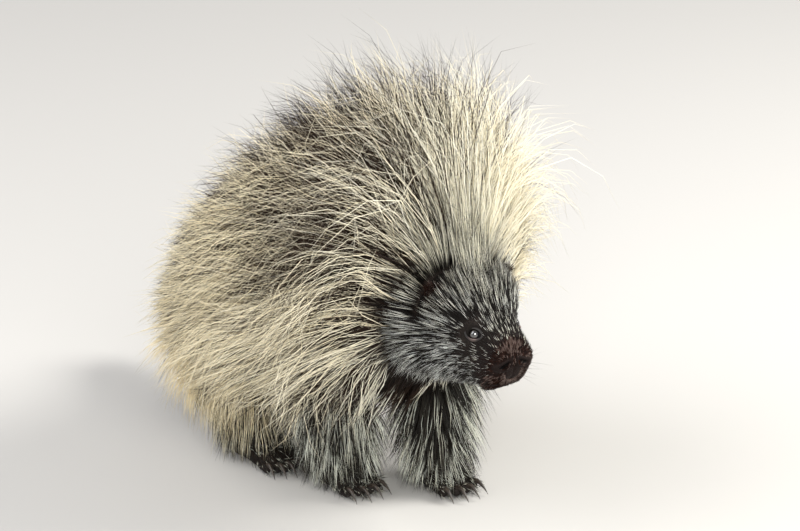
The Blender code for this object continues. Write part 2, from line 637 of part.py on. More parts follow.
def ear_surface(side):
    """Small rounded cup of an ear on one side of the head."""
    lean = placed((0, 0, 0), side * EAR_TURN, -EAR_LEAN_BACK) @ placed((0, 0, 0), 0, 0, -side * EAR_LEAN_OUT)
    turn = np.linspace(0, 2 * math.pi, EAR_POINTS, endpoint=False)[None, :]
    reach, behind = (np.array(column)[:, None] for column in zip(*EAR_RINGS))
    cup = -EAR_DEPTH * (1 - reach**2) - behind * EAR_WALL
    wide = reach * np.cos(turn) * EAR_WIDTH / 2 * (1 - EAR_TAPER + EAR_TAPER * np.sin(turn))
    tall = reach * np.sin(turn) * EAR_HEIGHT / 2 + EAR_HEIGHT * EAR_RISE
    rings = np.stack([cup + 0 * turn, wide, tall + 0 * cup], -1)
    place = placed((EAR_AT[0], side * EAR_AT[1], EAR_AT[2]))
    surface = ring_surface(rings)
    return moved(HEAD.place @ place @ lean, surface[0]), surface[1]


def eye_frame(side):
    """Centre of an eye, with its outward, forward and upward directions."""
    turn = math.radians(90 - side * (90 - EYE_TURN))
    outward = HEAD.outward(EYE_ALONG, turn)
    centre = HEAD.at(EYE_ALONG, turn) - outward * EYE_SINK
    forward = HEAD.place[:3, 0]
    forward = unit(forward - outward * (forward @ outward))
    up = np.cross(forward, outward) * side
    tilt = math.radians(LID_TILT)
    return (centre, outward, forward * math.cos(tilt) + up * math.sin(tilt),
            up * math.cos(tilt) - forward * math.sin(tilt))


def lid_ring(side):
    """Both lids of an eye, as one raised rim that comes to corners."""
    centre, outward, forward, up = eye_frame(side)
    turn = np.linspace(0, 2 * math.pi, LID_POINTS, endpoint=False)[:, None]
    flat = forward * LID_HALF_LENGTH * np.cos(turn) + up * LID_HALF_HEIGHT * np.sin(turn)
    over = np.maximum((EYE_RADIUS + LID_GAP) ** 2 - (flat**2).sum(-1), LID_LOWEST**2) ** 0.5
    path = centre + flat + outward * over[:, None]
    inward = unit(flat)
    tilt = unit(path - centre)
    around = np.linspace(0, 2 * math.pi, 4, endpoint=False)[None, :, None]
    rings = path[:, None] + LID_RADIUS * (np.cos(around) * inward[:, None] + np.sin(around) * tilt[:, None])
    n, m = rings.shape[:2]
    faces = [(i * m + j, (i + 1) % n * m + j, (i + 1) % n * m + (j + 1) % m, i * m + (j + 1) % m)
             for i in range(n) for j in range(m)]
    return rings.reshape(-1, 3), faces


def muzzle_point(tree, angle, up):
    """Point of the muzzle at an angle from straight ahead and a height, with its outward direction."""
    ray = HEAD.place[:3, :3] @ np.array((math.cos(angle), math.sin(angle), 0))
    start = moved(HEAD.place, (MOUTH_CENTRE, 0, up)) + ray * RAY_START
    return np.array(tree.ray_cast(Vector(start), Vector(-ray))[0]), ray


def mouth_surfaces(tree):
    """Both lips as rolls along the line of the mouth, and the wedge that opens it."""
    raised = HEAD.place[:3, 2]
    line, rays = [], []
    for angle in np.radians(np.linspace(-MOUTH_SPAN, MOUTH_SPAN, MOUTH_POINTS)):
        share = abs(math.degrees(angle)) / MOUTH_SPAN
        point, ray = muzzle_point(tree, angle, MOUTH_FRONT_UP + (MOUTH_CORNER_UP - MOUTH_FRONT_UP) * share**2)
        line.append(point)
        rays.append(ray)
    line, rays = np.array(line), np.array(rays)
    ups = np.broadcast_to(raised, line.shape)
    taper = np.clip(np.sin(np.linspace(0.12, math.pi - 0.12, len(line))) * 2.2, 0.3, 1)
    lips = [tube(line - rays * LIP_SINK + ups * LIP_OFFSET * sign, rays, ups, taper * LIP_RADIUS * 0.9,
                 taper * LIP_RADIUS, 4) for sign in (1, -1)]
    front = line + rays * MOUTH_OVERREACH
    wedge = np.stack([line - rays * MOUTH_DEPTH, front + ups * MOUTH_OPENING, front - ups * MOUTH_OPENING], 1)
    return lips, ring_surface(wedge)


def make_head():
    """Head with its lids, lips, nostrils and line of mouth."""
    base = HEAD.solid(*HEAD_MESH, start=HEAD_BACK)
    tree = tree_of(base)
    lips, wedge = mouth_surfaces(tree)
    head = new_object("head", base)
    combine(head, [*lips, lid_ring(1), lid_ring(-1)], "UNION")
    raised = HEAD.place[:3, 2]
    cuts = [wedge]
    for side in (1, -1):
        point, ray = muzzle_point(tree, side * math.radians(NOSTRIL_ANGLE), NOSTRIL_UP)
        tilted = unit(np.cross(raised, ray) * side - raised * NOSTRIL_SLOPE)
        axes = [tilted * NOSTRIL_LONG, np.cross(ray, tilted) * NOSTRIL_TALL, ray * NOSTRIL_DEPTH]
        cuts.append(ellipsoid(point, axes, *NOSTRIL_MESH))
        cuts.append(ellipsoid(eye_frame(side)[0], np.eye(3) * (EYE_RADIUS + GAP) * 1.03, *BALL_MESH))
        cuts.append(swollen(ear_surface(side), GAP * SOCKET_LOOSENESS))
    combine(head, cuts, "DIFFERENCE")
    return head


def paint(thing, colour, roughness):
    """Plain colour of a part, and smooth shading up to its sharp edges."""
    material = bpy.data.materials.new(thing.name)
    material.use_nodes = True
    shader = material.node_tree.nodes["Principled BSDF"]
    shader.inputs["Base Color"].default_value = (*colour, 1.0)
    shader.inputs["Roughness"].default_value = roughness
    shader.inputs["Metallic"].default_value = 0.0
    thing.data.materials.clear()
    thing.data.materials.append(material)
    thing.data.polygons.foreach_set("use_smooth", [True] * len(thing.data.polygons))
    thing.data.set_sharp_from_angle(angle=SMOOTH_ANGLE)


def settle(things):
    """Move all parts so that the origin is under the middle of the whole."""
    corners = np.array([v.co for thing in things for v in thing.data.vertices])
    low, high = corners.min(0), corners.max(0)
    shift = Matrix.Translation((-(low[0] + high[0]) / 2, -(low[1] + high[1]) / 2, -low[2]))
    for thing in things:
        thing.data.transform(shift)


def solid_parts():
    """Every part as its bare closed body, each clear of its neighbours."""
    parts = {foot: make_foot(foot, leg) for leg, foot in FOOT_OF_LEG.items()}
    limbs = {leg: LEGS[leg].solid(*LEG_MESH, LEG_NAP, start=ANKLE_HEIGHT + GAP) for leg in LEGS}
    limbs["tail"] = TAIL.solid(*TAIL_MESH, TAIL_NAP)
    for name, surface in limbs.items():
        parts[name] = new_object(name, surface)
    parts["torso"] = new_object("torso", BODY.solid(*BODY_MESH, core, end=NECK_PLANE))
    parts["neck"] = new_object("neck", BODY.solid(*NECK_MESH, core, start=NECK_PLANE + GAP))
    sockets = [swollen(surface, GAP * SOCKET_LOOSENESS) for surface in limbs.values()]
    combine(parts["torso"], sockets, "DIFFERENCE")
    combine(parts["neck"], [*sockets, half_space(HEAD.place, HEAD_BACK - GAP)], "DIFFERENCE")
    parts["head"] = make_head()
    for side, word in ((1, "left"), (-1, "right")):
        parts["ear_" + word] = new_object("ear_" + word, ear_surface(side))
        ball = ellipsoid(eye_frame(side)[0], np.eye(3) * EYE_RADIUS, *BALL_MESH)
        parts["eye_" + word] = new_object("eye_" + word, ball)
    return parts


def build():
    for thing in list(bpy.data.objects):
        bpy.data.objects.remove(thing, do_unlink=True)
    parts = solid_parts()
    others = {name: tree_of_object(thing) for name, thing in parts.items()}
    rng = np.random.default_rng(SEED)

    def cover(name, surfaces):
        combine(parts[name], surfaces, "UNION")
        others[name] = tree_of_object(parts[name])

    for leg, part in LEGS.items():
        cover(leg, ring_locks(leg, others, part, *LEG_LOCKS, rng))
    cover("tail", [*ring_locks("tail", others, TAIL, *TAIL_LOCKS, rng),
                   *quills("tail", others, TAIL, *TAIL_QUILLS, TAIL_NAP, rng)])
    cover("torso", [*body_locks("torso", others, len(TORSO_ROWS), torso_row, LOCK_SPACING, BELLY, rng),
                    *quills("torso", others, BODY, *BACK_QUILLS, core, rng)])
    cover("neck", body_locks("neck", others, NECK_ROWS, neck_row, NECK_LOCK_SPACING, NECK_LOW_SIDE, rng))
    cover("head", ring_locks("head", others, HEAD, *HEAD_LOCKS, rng, HEAD_LOCK_SPAN, HEAD_LOCK_SLANT))
    for name, thing in parts.items():
        kind = name.replace("_left", "").replace("_right", "")
        paint(thing, COLOURS[kind], EYE_ROUGHNESS if kind == "eye" else ROUGHNESS)
    settle(list(parts.values()))


build()
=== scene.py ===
import json
import math

import bmesh
import bpy
import numpy as np
from mathutils import Matrix, Vector
from mathutils.kdtree import KDTree

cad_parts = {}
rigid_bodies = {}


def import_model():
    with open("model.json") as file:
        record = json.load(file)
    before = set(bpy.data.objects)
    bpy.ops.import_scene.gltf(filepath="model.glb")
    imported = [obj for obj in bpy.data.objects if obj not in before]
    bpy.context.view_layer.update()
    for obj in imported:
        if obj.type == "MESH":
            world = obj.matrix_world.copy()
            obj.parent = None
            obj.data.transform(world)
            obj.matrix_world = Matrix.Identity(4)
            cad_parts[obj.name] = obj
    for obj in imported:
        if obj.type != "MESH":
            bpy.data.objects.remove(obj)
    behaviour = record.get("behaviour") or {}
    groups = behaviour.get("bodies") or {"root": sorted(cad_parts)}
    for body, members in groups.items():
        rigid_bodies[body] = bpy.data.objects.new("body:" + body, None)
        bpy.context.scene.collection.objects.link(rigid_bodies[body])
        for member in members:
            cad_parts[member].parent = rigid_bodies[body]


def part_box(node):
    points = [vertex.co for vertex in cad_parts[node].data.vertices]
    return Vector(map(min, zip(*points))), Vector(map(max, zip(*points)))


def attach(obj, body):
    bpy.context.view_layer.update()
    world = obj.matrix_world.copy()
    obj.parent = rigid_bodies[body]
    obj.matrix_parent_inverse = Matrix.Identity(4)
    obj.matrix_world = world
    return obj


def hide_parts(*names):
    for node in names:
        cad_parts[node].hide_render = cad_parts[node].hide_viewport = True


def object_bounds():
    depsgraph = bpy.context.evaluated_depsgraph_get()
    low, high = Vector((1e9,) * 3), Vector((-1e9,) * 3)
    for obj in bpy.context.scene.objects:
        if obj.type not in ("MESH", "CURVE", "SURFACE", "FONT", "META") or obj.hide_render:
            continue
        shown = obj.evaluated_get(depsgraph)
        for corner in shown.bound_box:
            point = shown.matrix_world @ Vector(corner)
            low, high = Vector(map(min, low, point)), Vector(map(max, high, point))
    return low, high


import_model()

# Porcupine walking with the hair of its nape raised: skin, coat, quills, eyes, lids and claws.
# Metres, +X forward, +Y to its left, +Z up. Shapes repeat the sizes of the solid model.
CAD_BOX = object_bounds()
SEED = 23
TINY = 1e-9
UP = np.array((0, 0, 1))
FULL_TURN = 2 * math.pi
SIDES = ((1, "left"), (-1, "right"))
# Points closer than this are one
MERGE_DISTANCE, EMPTY_EDGE = 1e-5, 1e-6
# Steps that measure a part's slope, along it and round it, and how far rings at one rounded end spread
SLOPE_SHARE, SLOPE_TURN, RING_SPREAD = 1e-3, 0.02, 0.25

# Stations of the body along its own axis:
# (along, centre across, centre up, half width, rise, drop)
BODY_KEYS = [
    (-0.242, 0, 0.134, 0.058, 0.058, 0.056),
    (-0.192, 0, 0.146, 0.076, 0.082, 0.074),
    (-0.135, 0, 0.160, 0.085, 0.097, 0.086),
    (-0.080, 0, 0.171, 0.087, 0.102, 0.091),
    (-0.025, 0, 0.180, 0.083, 0.097, 0.091),
    (0.035, 0, 0.191, 0.072, 0.083, 0.079),
    (0.080, 0, 0.202, 0.056, 0.060, 0.062),
    (0.110, 0, 0.206, 0.052, 0.052, 0.058),
]
RUMP_ROUNDING = 0.070

# The head, in its own frame at the neck
HEAD_PLACE, HEAD_YAW, HEAD_PITCH = (0.070, 0.0, 0.212), -4, 18
HEAD_BACK, NECK_OVERLAP = 0.014, 0.004
HEAD_KEYS = [
    (0.000, 0, 0.002, 0.052, 0.054, 0.056),
    (0.025, 0, 0.001, 0.052, 0.050, 0.055),
    (0.050, 0, 0.000, 0.045, 0.044, 0.051),
    (0.070, 0, 0.000, 0.036, 0.038, 0.045),
    (0.090, 0, 0.000, 0.029, 0.030, 0.037),
    (0.105, 0, -0.001, 0.0265, 0.0255, 0.032),
    (0.121, 0, -0.004, 0.025, 0.0225, 0.029),
]
MUZZLE_ROUNDING = 0.017
HEAD_SQUARE = 2.3
# Swellings and hollows of the head: place (along, out, up), radius, height
HEAD_RELIEF = [
    ((0.086, 0.028, 0.019), 0.009, -0.0020),
    ((0.074, 0.022, 0.035), 0.014, 0.0030),
    ((0.048, 0.046, -0.014), 0.024, 0.0040),
    ((0.114, 0.021, 0.004), 0.009, 0.0022),
    ((0.104, 0.026, -0.010), 0.012, 0.0024),
    ((0.098, 0.022, 0.017), 0.009, -0.0014),
    ((0.121, 0.000, -0.028), 0.014, -0.0050),
    ((0.126, 0.000, 0.004), 0.005, -0.0012),
    ((0.100, 0.012, 0.026), 0.010, 0.0012),
]
EYE_ALONG, EYE_TURN, EYE_SINK, EYE_RADIUS = 0.0845, 37, 0.0032, 0.0056
SOCKET_GAP = 0.0005
CORNEA_BULGE, CORNEA_WIDTH = 0.035, 0.62
LID_HALF_LENGTH, LID_HALF_HEIGHT, LID_TILT = 0.0075, 0.0045, 26
LID_PINCH, LOWER_SPREAD, UPPER_SPREAD = 0.22, 0.9, 0.2
MOIST_HEIGHT, MOIST_WIDTH, MOIST_FRONT = 0.0006, 0.0009, 0.5
# Cross-section of a lid: outwards in the plane of the eye, and height over the eyeball
LID_PROFILE = [(0.0032, -0.0022), (0.0023, 0.0002), (0.0014, 0.0015), (0.0006, 0.0018),
               (0.0000, 0.0012), (0.0001, 0.0003), (0.0016, -0.0006)]
LID_CORNER_HEIGHT = 0.0030
# Fine waves of the skin: (height, middle, reach, spacing, bend, how quickly it bends)
EYE_FOLDS = (0.00022, 0.0125, 0.0028, 0.0022, 2.2, 260)
MUZZLE_CREASES = (0.00018, 0.104, 0.010, 0.0046, 3, 210)
EYE_RING_HEIGHT, EYE_RING_RADIUS, EYE_RING_WIDTH = 0.0005, 0.0100, 0.0022
EAR_AT = (0.046, 0.0365, 0.0255)
EAR_HEIGHT, EAR_WIDTH, EAR_DEPTH, EAR_WALL = 0.028, 0.018, 0.007, 0.0022
EAR_LEAN_OUT, EAR_LEAN_BACK, EAR_TURN = 34, 6, 42
EAR_FOLD_HEIGHT, EAR_FOLDS, EAR_EGG, EAR_RAISE = 0.0006, 5, 0.14, 0.30
EAR_ROLL_FROM, EAR_ROLL_SHARE = 0.42, 0.16
MOUTH_CENTRE, MOUTH_SPAN = 0.088, 98
MOUTH_FRONT_UP, MOUTH_CORNER_UP = -0.0205, -0.0265
MOUTH_WIDTH, MOUTH_DEPTH = 0.0009, 0.0026
MOUTH_END, MOUTH_END_FADE, MOUTH_BACK = 1.04, 0.12, 0.02
LIP_HEIGHT, LIP_OFFSET, LIP_WIDTH, LOWER_LIP = 0.0012, 0.0026, 0.0018, 0.8
NOSTRIL_ANGLE, NOSTRIL_UP, NOSTRIL_TILT = 17, 0.004, -30
NOSTRIL_LONG, NOSTRIL_TALL, NOSTRIL_DEPTH = 0.0050, 0.0025, 0.0050
NOSTRIL_CURL, NOSTRIL_EDGE, NOSTRIL_HOLLOW, NO_NOSTRIL = 40, 1.25, 1.2, 9
RIM_HEIGHT, RIM_AT, RIM_WIDTH = 0.0009, 1.5, 0.45
GROOVE_DEPTH, GROOVE_WIDTH, GROOVE_TOP = 0.0008, 0.0014, 0.010
# Where nostrils and mouth are bare, with painted shade in them
OPENING_EDGE, OPENING_FADE, OPENING_WIDTH = 1.15, 0.2, 0.0011
MUZZLE_REACH = 0.028

# Legs: (height, out from the midline, back from x = 0, half width, backward, forward)
ANKLE_HEIGHT = 0.026
LEG_KEYS = {
    "foreleg_left": [
        (ANKLE_HEIGHT, 0.036, -0.026, 0.018, 0.019, 0.019),
        (0.055, 0.039, -0.019, 0.021, 0.022, 0.022),
        (0.100, 0.046, -0.005, 0.025, 0.028, 0.028),
        (0.150, 0.050, 0.006, 0.026, 0.032, 0.032),
    ],
    "foreleg_right": [
        (ANKLE_HEIGHT, -0.034, 0.029, 0.018, 0.019, 0.019),
        (0.055, -0.037, 0.029, 0.021, 0.022, 0.022),
        (0.100, -0.046, 0.025, 0.025, 0.028, 0.028),
        (0.150, -0.050, 0.020, 0.026, 0.032, 0.032),
    ],
    "hindleg_left": [
        (ANKLE_HEIGHT, 0.057, 0.213, 0.020, 0.022, 0.022),
        (0.055, 0.060, 0.205, 0.024, 0.027, 0.028),
        (0.100, 0.062, 0.185, 0.032, 0.040, 0.042),
        (0.150, 0.058, 0.170, 0.032, 0.046, 0.050),
    ],
    "hindleg_right": [
        (ANKLE_HEIGHT, -0.050, 0.142, 0.020, 0.022, 0.022),
        (0.055, -0.054, 0.145, 0.024, 0.027, 0.028),
        (0.100, -0.061, 0.158, 0.032, 0.042, 0.040),
        (0.150, -0.058, 0.162, 0.032, 0.048, 0.046),
    ],
}
LEG_TOP_ROUNDING = 0.030
# Feet: sole's middle (x, y), turn to the left, length, half width, toes
FOOT_SIZES = {
    "forefoot_left": ((0.036, 0.0360), -4, 0.060, 0.0200, 4),
    "forefoot_right": ((-0.021, -0.0340), -4, 0.060, 0.0200, 4),
    "hindfoot_left": ((-0.198, 0.0580), 6, 0.084, 0.0210, 5),
    "hindfoot_right": ((-0.126, -0.0505), -8, 0.084, 0.0210, 5),
}
FOOT_OF_LEG = {leg: leg.replace("leg", "foot") for leg in LEG_KEYS}
# Stations of a sole: (half lengths along, offset, up, share of the half width, rise, drop)
SOLE_KEYS = [(-1, 0, 0.010, 0.70, 0.010, 0.012), (0, 0, 0.012, 0.95, 0.011, 0.014),
             (1, -0.008, 0.009, 1, 0.007, 0.011)]
HEEL_ROUNDING, SOLE_ROUNDING, SOLE_SQUARE = 0.014, 0.010, 2.4
ANKLE_FOOT, ANKLE_OVERLAP = 0.005, 0.006
TOE_LENGTH, TOE_RADIUS, TOE_RAISE = 0.017, 0.0062, 0.0012
TOE_FAN, TOE_BACK, TOE_ARC, TOE_SPREAD = -9, 0.007, 0.006, 0.80
# Balls of a toe: (place along it, size), and their half axes as shares of its length and radius
TOE_BALLS = ((-0.25, 1.0), (0.25, 0.94))
TOE_BALL_LONG, TOE_BALL_WIDE = 0.36, 0.86
CLAW_LENGTH, CLAW_RADIUS, CLAW_TIP_UP = 0.021, 0.0027, 0.002
CLAW_ROOT, CLAW_RAISE, CLAW_OVERHANG, CLAW_ARCH, CLAW_FLAT = 0.22, 0.0022, 0.0010, 0.0042, 0.72
CLAW_TIP_RADIUS, CLAW_RIPPLE = 0.00025, 0.03
SKIN_GRAIN = 0.0011
LOWEST_SKIN = 0.0002
# How velvet and bare the skin is, where each starts and the distance over which it comes in; how far the skin
# darkens round the eyes; and how strong the painted shade in the ear's cleft is and how far back it goes
VELVET_START, VELVET_FADE = 0.072, 0.020
BARE_TOP, BARE_FADE = 0.012, 0.008
EYE_SHADE = 0.0125
CLEFT_PAINTED_SHADE, CLEFT_BACK = 0.9, 0.01

TAIL_PLACE, TAIL_YAW, TAIL_PITCH = (-0.222, 0.008, 0.120), -14, -25
TAIL_KEYS = [
    (-0.165, -0.006, 0.020, 0.012, 0.010, 0.009),
    (-0.120, -0.003, 0.008, 0.021, 0.018, 0.015),
    (-0.060, 0.0, 0.001, 0.030, 0.025, 0.021),
    (0.010, 0.0, 0.0, 0.036, 0.032, 0.028),
]
TAIL_TIP_ROUNDING, TAIL_END_ROUNDING = 0.030, 0.020

# The coat of the body, at these stations and angles down from the spine. Angles are degrees,
# SLANT is the downward lean of the lie, and PALE_FROM is where along a hair its pale part starts.
ANGLES = (0, 45, 90, 130, 180)
SHAPE_STATIONS = (-0.235, -0.11, -0.01, 0.09)
BODY_SHAPE = {
    "stem": (
        (0.010, 0.010, 0.010, 0.008, 0.005),
        (0.014, 0.014, 0.014, 0.010, 0.005),
        (0.028, 0.026, 0.018, 0.012, 0.005),
        (0.008, 0.008, 0.006, 0.004, 0.003)),
    "length": (
        (0.038, 0.040, 0.038, 0.042, 0.040),
        (0.060, 0.082, 0.096, 0.088, 0.050),
        (0.158, 0.156, 0.144, 0.098, 0.048),
        (0.204, 0.178, 0.116, 0.078, 0.050)),
    "root_lift": (
        (52, 48, 38, 28, 26),
        (58, 56, 48, 34, 26),
        (90, 80, 60, 38, 24),
        (98, 86, 64, 42, 34)),
    "tip_lift": (
        (20, 14, 6, 2, 8),
        (24, 18, 6, 0, 8),
        (40, 22, 8, 0, 8),
        (46, 34, 12, 8, 10)),
    "slant": (
        (10, 14, 24, 46, 60),
        (-6, -16, 0, 38, 30),
        (-12, -44, -32, 34, 20),
        (0, -54, -44, 44, 20)),
    "droop": (
        (0.30, 0.40, 0.40, 0.30, 0.0),
        (0.50, 0.85, 0.80, 0.40, 0.0),
        (0.60, 1.20, 1.05, 0.40, 0.0),
        (0.85, 1.15, 0.80, 0.30, 0.0)),
}
MARK_STATIONS = (-0.24, -0.18, -0.10, -0.01, 0.05, 0.10)
BODY_MARKS = {
    "pale_share": (
        (0.12, 0.26, 0.54, 0.72, 0.6),
        (0.08, 0.18, 0.45, 0.64, 0.6),
        (0.05, 0.13, 0.43, 0.62, 0.5),
        (0.05, 0.42, 0.62, 0.68, 0.5),
        (0.08, 0.08, 0.26, 0.62, 0.5),
        (0.86, 0.22, 0.20, 0.46, 0.5)),
    "pale_from": (
        (0.60, 0.44, 0.28, 0.16, 0.3),
        (0.66, 0.42, 0.28, 0.16, 0.3),
        (0.48, 0.34, 0.28, 0.16, 0.3),
        (0.36, 0.24, 0.22, 0.16, 0.3),
        (0.24, 0.30, 0.38, 0.24, 0.35),
        (0.00, 0.14, 0.34, 0.36, 0.3)),
    "warmth": (
        (0.50, 0.55, 0.80, 1.00, 0.6),
        (0.45, 0.55, 0.75, 1.00, 0.6),
        (0.50, 0.60, 0.65, 0.90, 0.5),
        (0.55, 0.60, 0.55, 0.50, 0.2),
        (0.45, 0.50, 0.45, 0.10, 0.0),
        (0.15, 0.30, 0.38, 0.00, 0.0)),
}
# The coat of the head, at stations along it and angles down from the crown
HEAD_STATIONS = (0.0, 0.03, 0.06, 0.085, 0.110, 0.121)
HEAD_COAT = {
    "length": (
        (0.090, 0.080, 0.056, 0.050, 0.036),
        (0.066, 0.056, 0.040, 0.040, 0.028),
        (0.038, 0.032, 0.026, 0.028, 0.020),
        (0.018, 0.016, 0.014, 0.016, 0.012),
        (0.0075, 0.0065, 0.0060, 0.0075, 0.0070),
        (0.0046, 0.0044, 0.0046, 0.0054, 0.0050)),
    "root_lift": (
        (92, 80, 60, 46, 36),
        (74, 58, 42, 36, 30),
        (46, 36, 28, 28, 28),
        (28, 22, 20, 22, 26),
        (20, 18, 18, 22, 26),
        (32, 32, 32, 32, 32)),
    "tip_lift": (
        (68, 54, 32, 18, 14),
        (48, 32, 16, 14, 12),
        (26, 14, 8, 9, 12),
        (10, 6, 5, 7, 10),
        (7, 6, 6, 8, 10),
        (16, 16, 16, 16, 16)),
    "slant": (
        (0, 0, 14, 56, 20),
        (-6, -4, 16, 58, 20),
        (-10, -6, 18, 56, 10),
        (-10, -4, 18, 48, 0),
        (0, 0, 16, 36, 0),
        (0, 0, 0, 0, 0)),
    "pale_share": (
        (1.00, 0.56, 0.34, 0.52, 0.6),
        (0.70, 0.30, 0.28, 0.56, 0.6),
        (0.34, 0.22, 0.34, 0.52, 0.5),
        (0.30, 0.20, 0.32, 0.40, 0.4),
        (0.16, 0.12, 0.18, 0.18, 0.2),
        (0.03, 0.03, 0.03, 0.03, 0.0)),
    "pale_from": (
        (0.10, 0.36, 0.46, 0.34, 0.4),
        (0.20, 0.40, 0.44, 0.36, 0.4),
        (0.36, 0.42, 0.42, 0.40, 0.5),
        (0.40, 0.42, 0.44, 0.44, 0.5),
        (0.40, 0.45, 0.50, 0.50, 0.6),
        (0.70, 0.70, 0.70, 0.70, 0.7)),
    "warmth": (
        (0.60, 0.60, 0.40, 0.02, 0.0),
        (0.60, 0.50, 0.20, 0.02, 0.0),
        (0.50, 0.30, 0.06, 0.00, 0.0),
        (0.26, 0.14, 0.06, 0.00, 0.0),
        (0.50, 0.40, 0.20, 0.20, 0.3),
        (0.30, 0.30, 0.30, 0.30, 0.3)),
}
# Paler, shorter hair on the left of the nape, its paleness partly the coat's own and partly painted light of
# a sunlit side: where it starts along and round the body, how much
CREST_START, CREST_LOW, CREST_PALE_AND_LIT, CREST_ROOTS = (0.05, 0.04), 100, 0.75, 0.7
NAPE_START, NAPE_SIDE, NAPE_CUT, STEM_CUT = (0.0, 0.05), (15, 30), 0.38, 0.009
# Long strands, against the hair round them, and where some of them are dark
STRAND_FACTORS, STRAND_LIFT, STRAND_DARK = {"length": 1.15, "droop": 1.3, "pale_from": 0.6}, 8, 0.5
STRAND_NAPE, STRAND_NAPE_LOW = (0.02, 0.03), 75
STRAND_BACK, STRAND_BACK_LOW = (-0.05, 0.03), 50
# Fur round the ear's cleft and the eyes
CLEFT_REACH, CLEFT_SHORTEST, CLEFT_DARK = 0.95, 0.004, 0.022
BEHIND_CLEFT_FROM, BEHIND_CLEFT_PALE = 0.10, 0.25
EYE_FUR_REACH, EYE_FUR_SHORTEST = 0.017, 0.3
VELVET_PALE, VELVET_BAND = 0.06, 0.35
# Coat of the limbs and the tail: plain sizes, or sizes at stations along them
LIMB_COATS = {
    "foreleg": {"stem": 0, "slant": 0, "root_lift": 44, "tip_lift": 14, "pale_share": 0.36,
                "length": ((0.022, 0.05, 0.12), (0.028, 0.050, 0.062)),
                "pale_from": ((0.03, 0.08, 0.14), (0.40, 0.36, 0.34)),
                "warmth": ((0.03, 0.10, 0.15), (0.05, 0.10, 0.2))},
    "hindleg": {"stem": 0, "slant": 0, "root_lift": 44, "tip_lift": 14,
                "length": ((0.022, 0.05, 0.12), (0.026, 0.052, 0.072)),
                "pale_share": ((0.03, 0.07, 0.10), (0.30, 0.65, 1.00)),
                "pale_from": ((0.03, 0.08, 0.12), (0.50, 0.30, 0.05)),
                "warmth": ((0.03, 0.07, 0.12), (0.25, 0.6, 0.9))},
    "tail": {"stem": 0, "slant": 0, "root_lift": 34, "tip_lift": 12, "pale_share": 1, "pale_from": 0.5,
             "warmth": 0.7, "length": ((-0.165, -0.10, 0.0), (0.030, 0.046, 0.052))},
}
# The share of pale hair on them falls off at these angles down from the top
LIMB_PALE = {"foreleg": ((0, 180), (1, 1)), "hindleg": ((0, 60, 180), (1.0, 1.0, 0.7)),
             "tail": ((0, 90, 140), (0.55, 0.6, 0.1))}
# Hair colours: root, which the dark part also fades to towards the root as painted shade, shaft, cool tip and
# warm tip, then the softness of the bands and the gloss
HAIR_COLOURS = {
    "guard hair": ((0.008, 0.0045, 0.003), (0.034, 0.018, 0.010), (0.92, 0.90, 0.77),
                   (0.97, 0.81, 0.49), 0.12, 0.16),
    "face hair": ((0.005, 0.004, 0.004), (0.022, 0.018, 0.016), (0.86, 0.89, 0.86),
                  (0.90, 0.82, 0.56), 0.10, 0.16),
    "muzzle velvet": ((0.001, 0.0005, 0.0004), (0.030, 0.012, 0.008), (0.170, 0.135, 0.120),
                      (0.120, 0.060, 0.044), 0.2, 0.04),
    "leg hair": ((0.009, 0.008, 0.007), (0.042, 0.038, 0.030), (0.74, 0.77, 0.68),
                 (0.88, 0.72, 0.42), 0.14, 0.16),
}
# Lighter fur of the muzzle in its own frame: place (along, out, up), radius, how much
MUZZLE_LIGHT = [((0.109, 0.0235, -0.010), 0.008, 0.9), ((0.121, 0.000, -0.008), 0.006, 0.9),
                ((0.116, 0.000, 0.018), 0.008, 0.4)]
# Cleft of the ear: its station on the head and its width, at angles down from the crown
EAR_CLEFT = ((14, 45, 78), (0.026, 0.031, 0.036))
EAR_CLEFT_WIDTHS, CLEFT_LEAD = (0.0015, 0.0075, 0.0030), 0.001
# Where the muzzle's velvet starts, at angles down from the crown
VELVET_FROM = ((0, 90, 150), (0.109, 0.1140, 0.1075))
BAKE_PATCH = 0.003
FLOOR_CLEARANCE, FLOOR_STEP = 0.0012, 0.0003
BOX_MARGIN, SHORTEST_SHARE = 0.018, 0.2
# Hairs keep off an oval round each eye, from below its centre to well above it
EYE_OVAL_LONG, EYE_OVAL_RADIUS, EYE_OVAL_HEIGHTS = 1.25, 0.0052, (-0.006, 0.05)
# Thickness of a hair at its rings, by the number of its steps, and its flatness
HAIR_SHAPE = {2: (0.9, 1.0), 3: (0.75, 1.0, 0.72), 4: (0.70, 1.0, 0.85, 0.52),
              5: (0.6, 0.95, 1.0, 0.84, 0.5)}
HAIR_FLAT = 0.75
ROOT_DEPTH = -0.001
# How quickly hairs bend from root to tip, and the share of them that stands as a stem
LIFT_EASE, WAVE_PACE, BOW_EASE, DROOP_EASE, STEM_SHARE = 0.8, 5.0, 1.5, 1.2, 0.3
# Slow change of the lie: waves, their pace along and round a part, and how they bend
DRIFT_WAVES, DRIFT_ALONG, DRIFT_ROUND, DRIFT_BEND = 6, (14, 60), (1, 7), (1.3, 2, 25)
# Spread of the sizes of hairs, as shares, degrees and radians
HAIR_SPREAD = {"length": 0.14, "lift": 7.0, "slant": 7.0, "wave": 0.20, "bow": 0.16, "drift": 11.0}
NAPE_SPREAD = {"length": 0.17, "lift": 9.0, "slant": 9.0, "wave": 0.38, "bow": 0.36, "drift": 16.0}
STRAND_SPREAD = {"length": 0.20, "lift": 12.0, "slant": 15.0, "wave": 0.30, "bow": 0.70, "drift": 22.0}
CURL_SPREAD = {"length": 0.22, "lift": 13.0, "slant": 20.0, "wave": 0.56, "bow": 0.85, "drift": 22.0}
FACE_SPREAD = {"length": 0.18, "lift": 6.0, "slant": 5.0, "wave": 0.10, "bow": 0.10, "drift": 4.0}
MUZZLE_SPREAD = {"length": 0.2, "lift": 6.0, "slant": 6.0, "wave": 0.08, "drift": 5.0}
TUFT_SPREAD, TUFT_SCALE = 1.7, (0.6, 1.4)
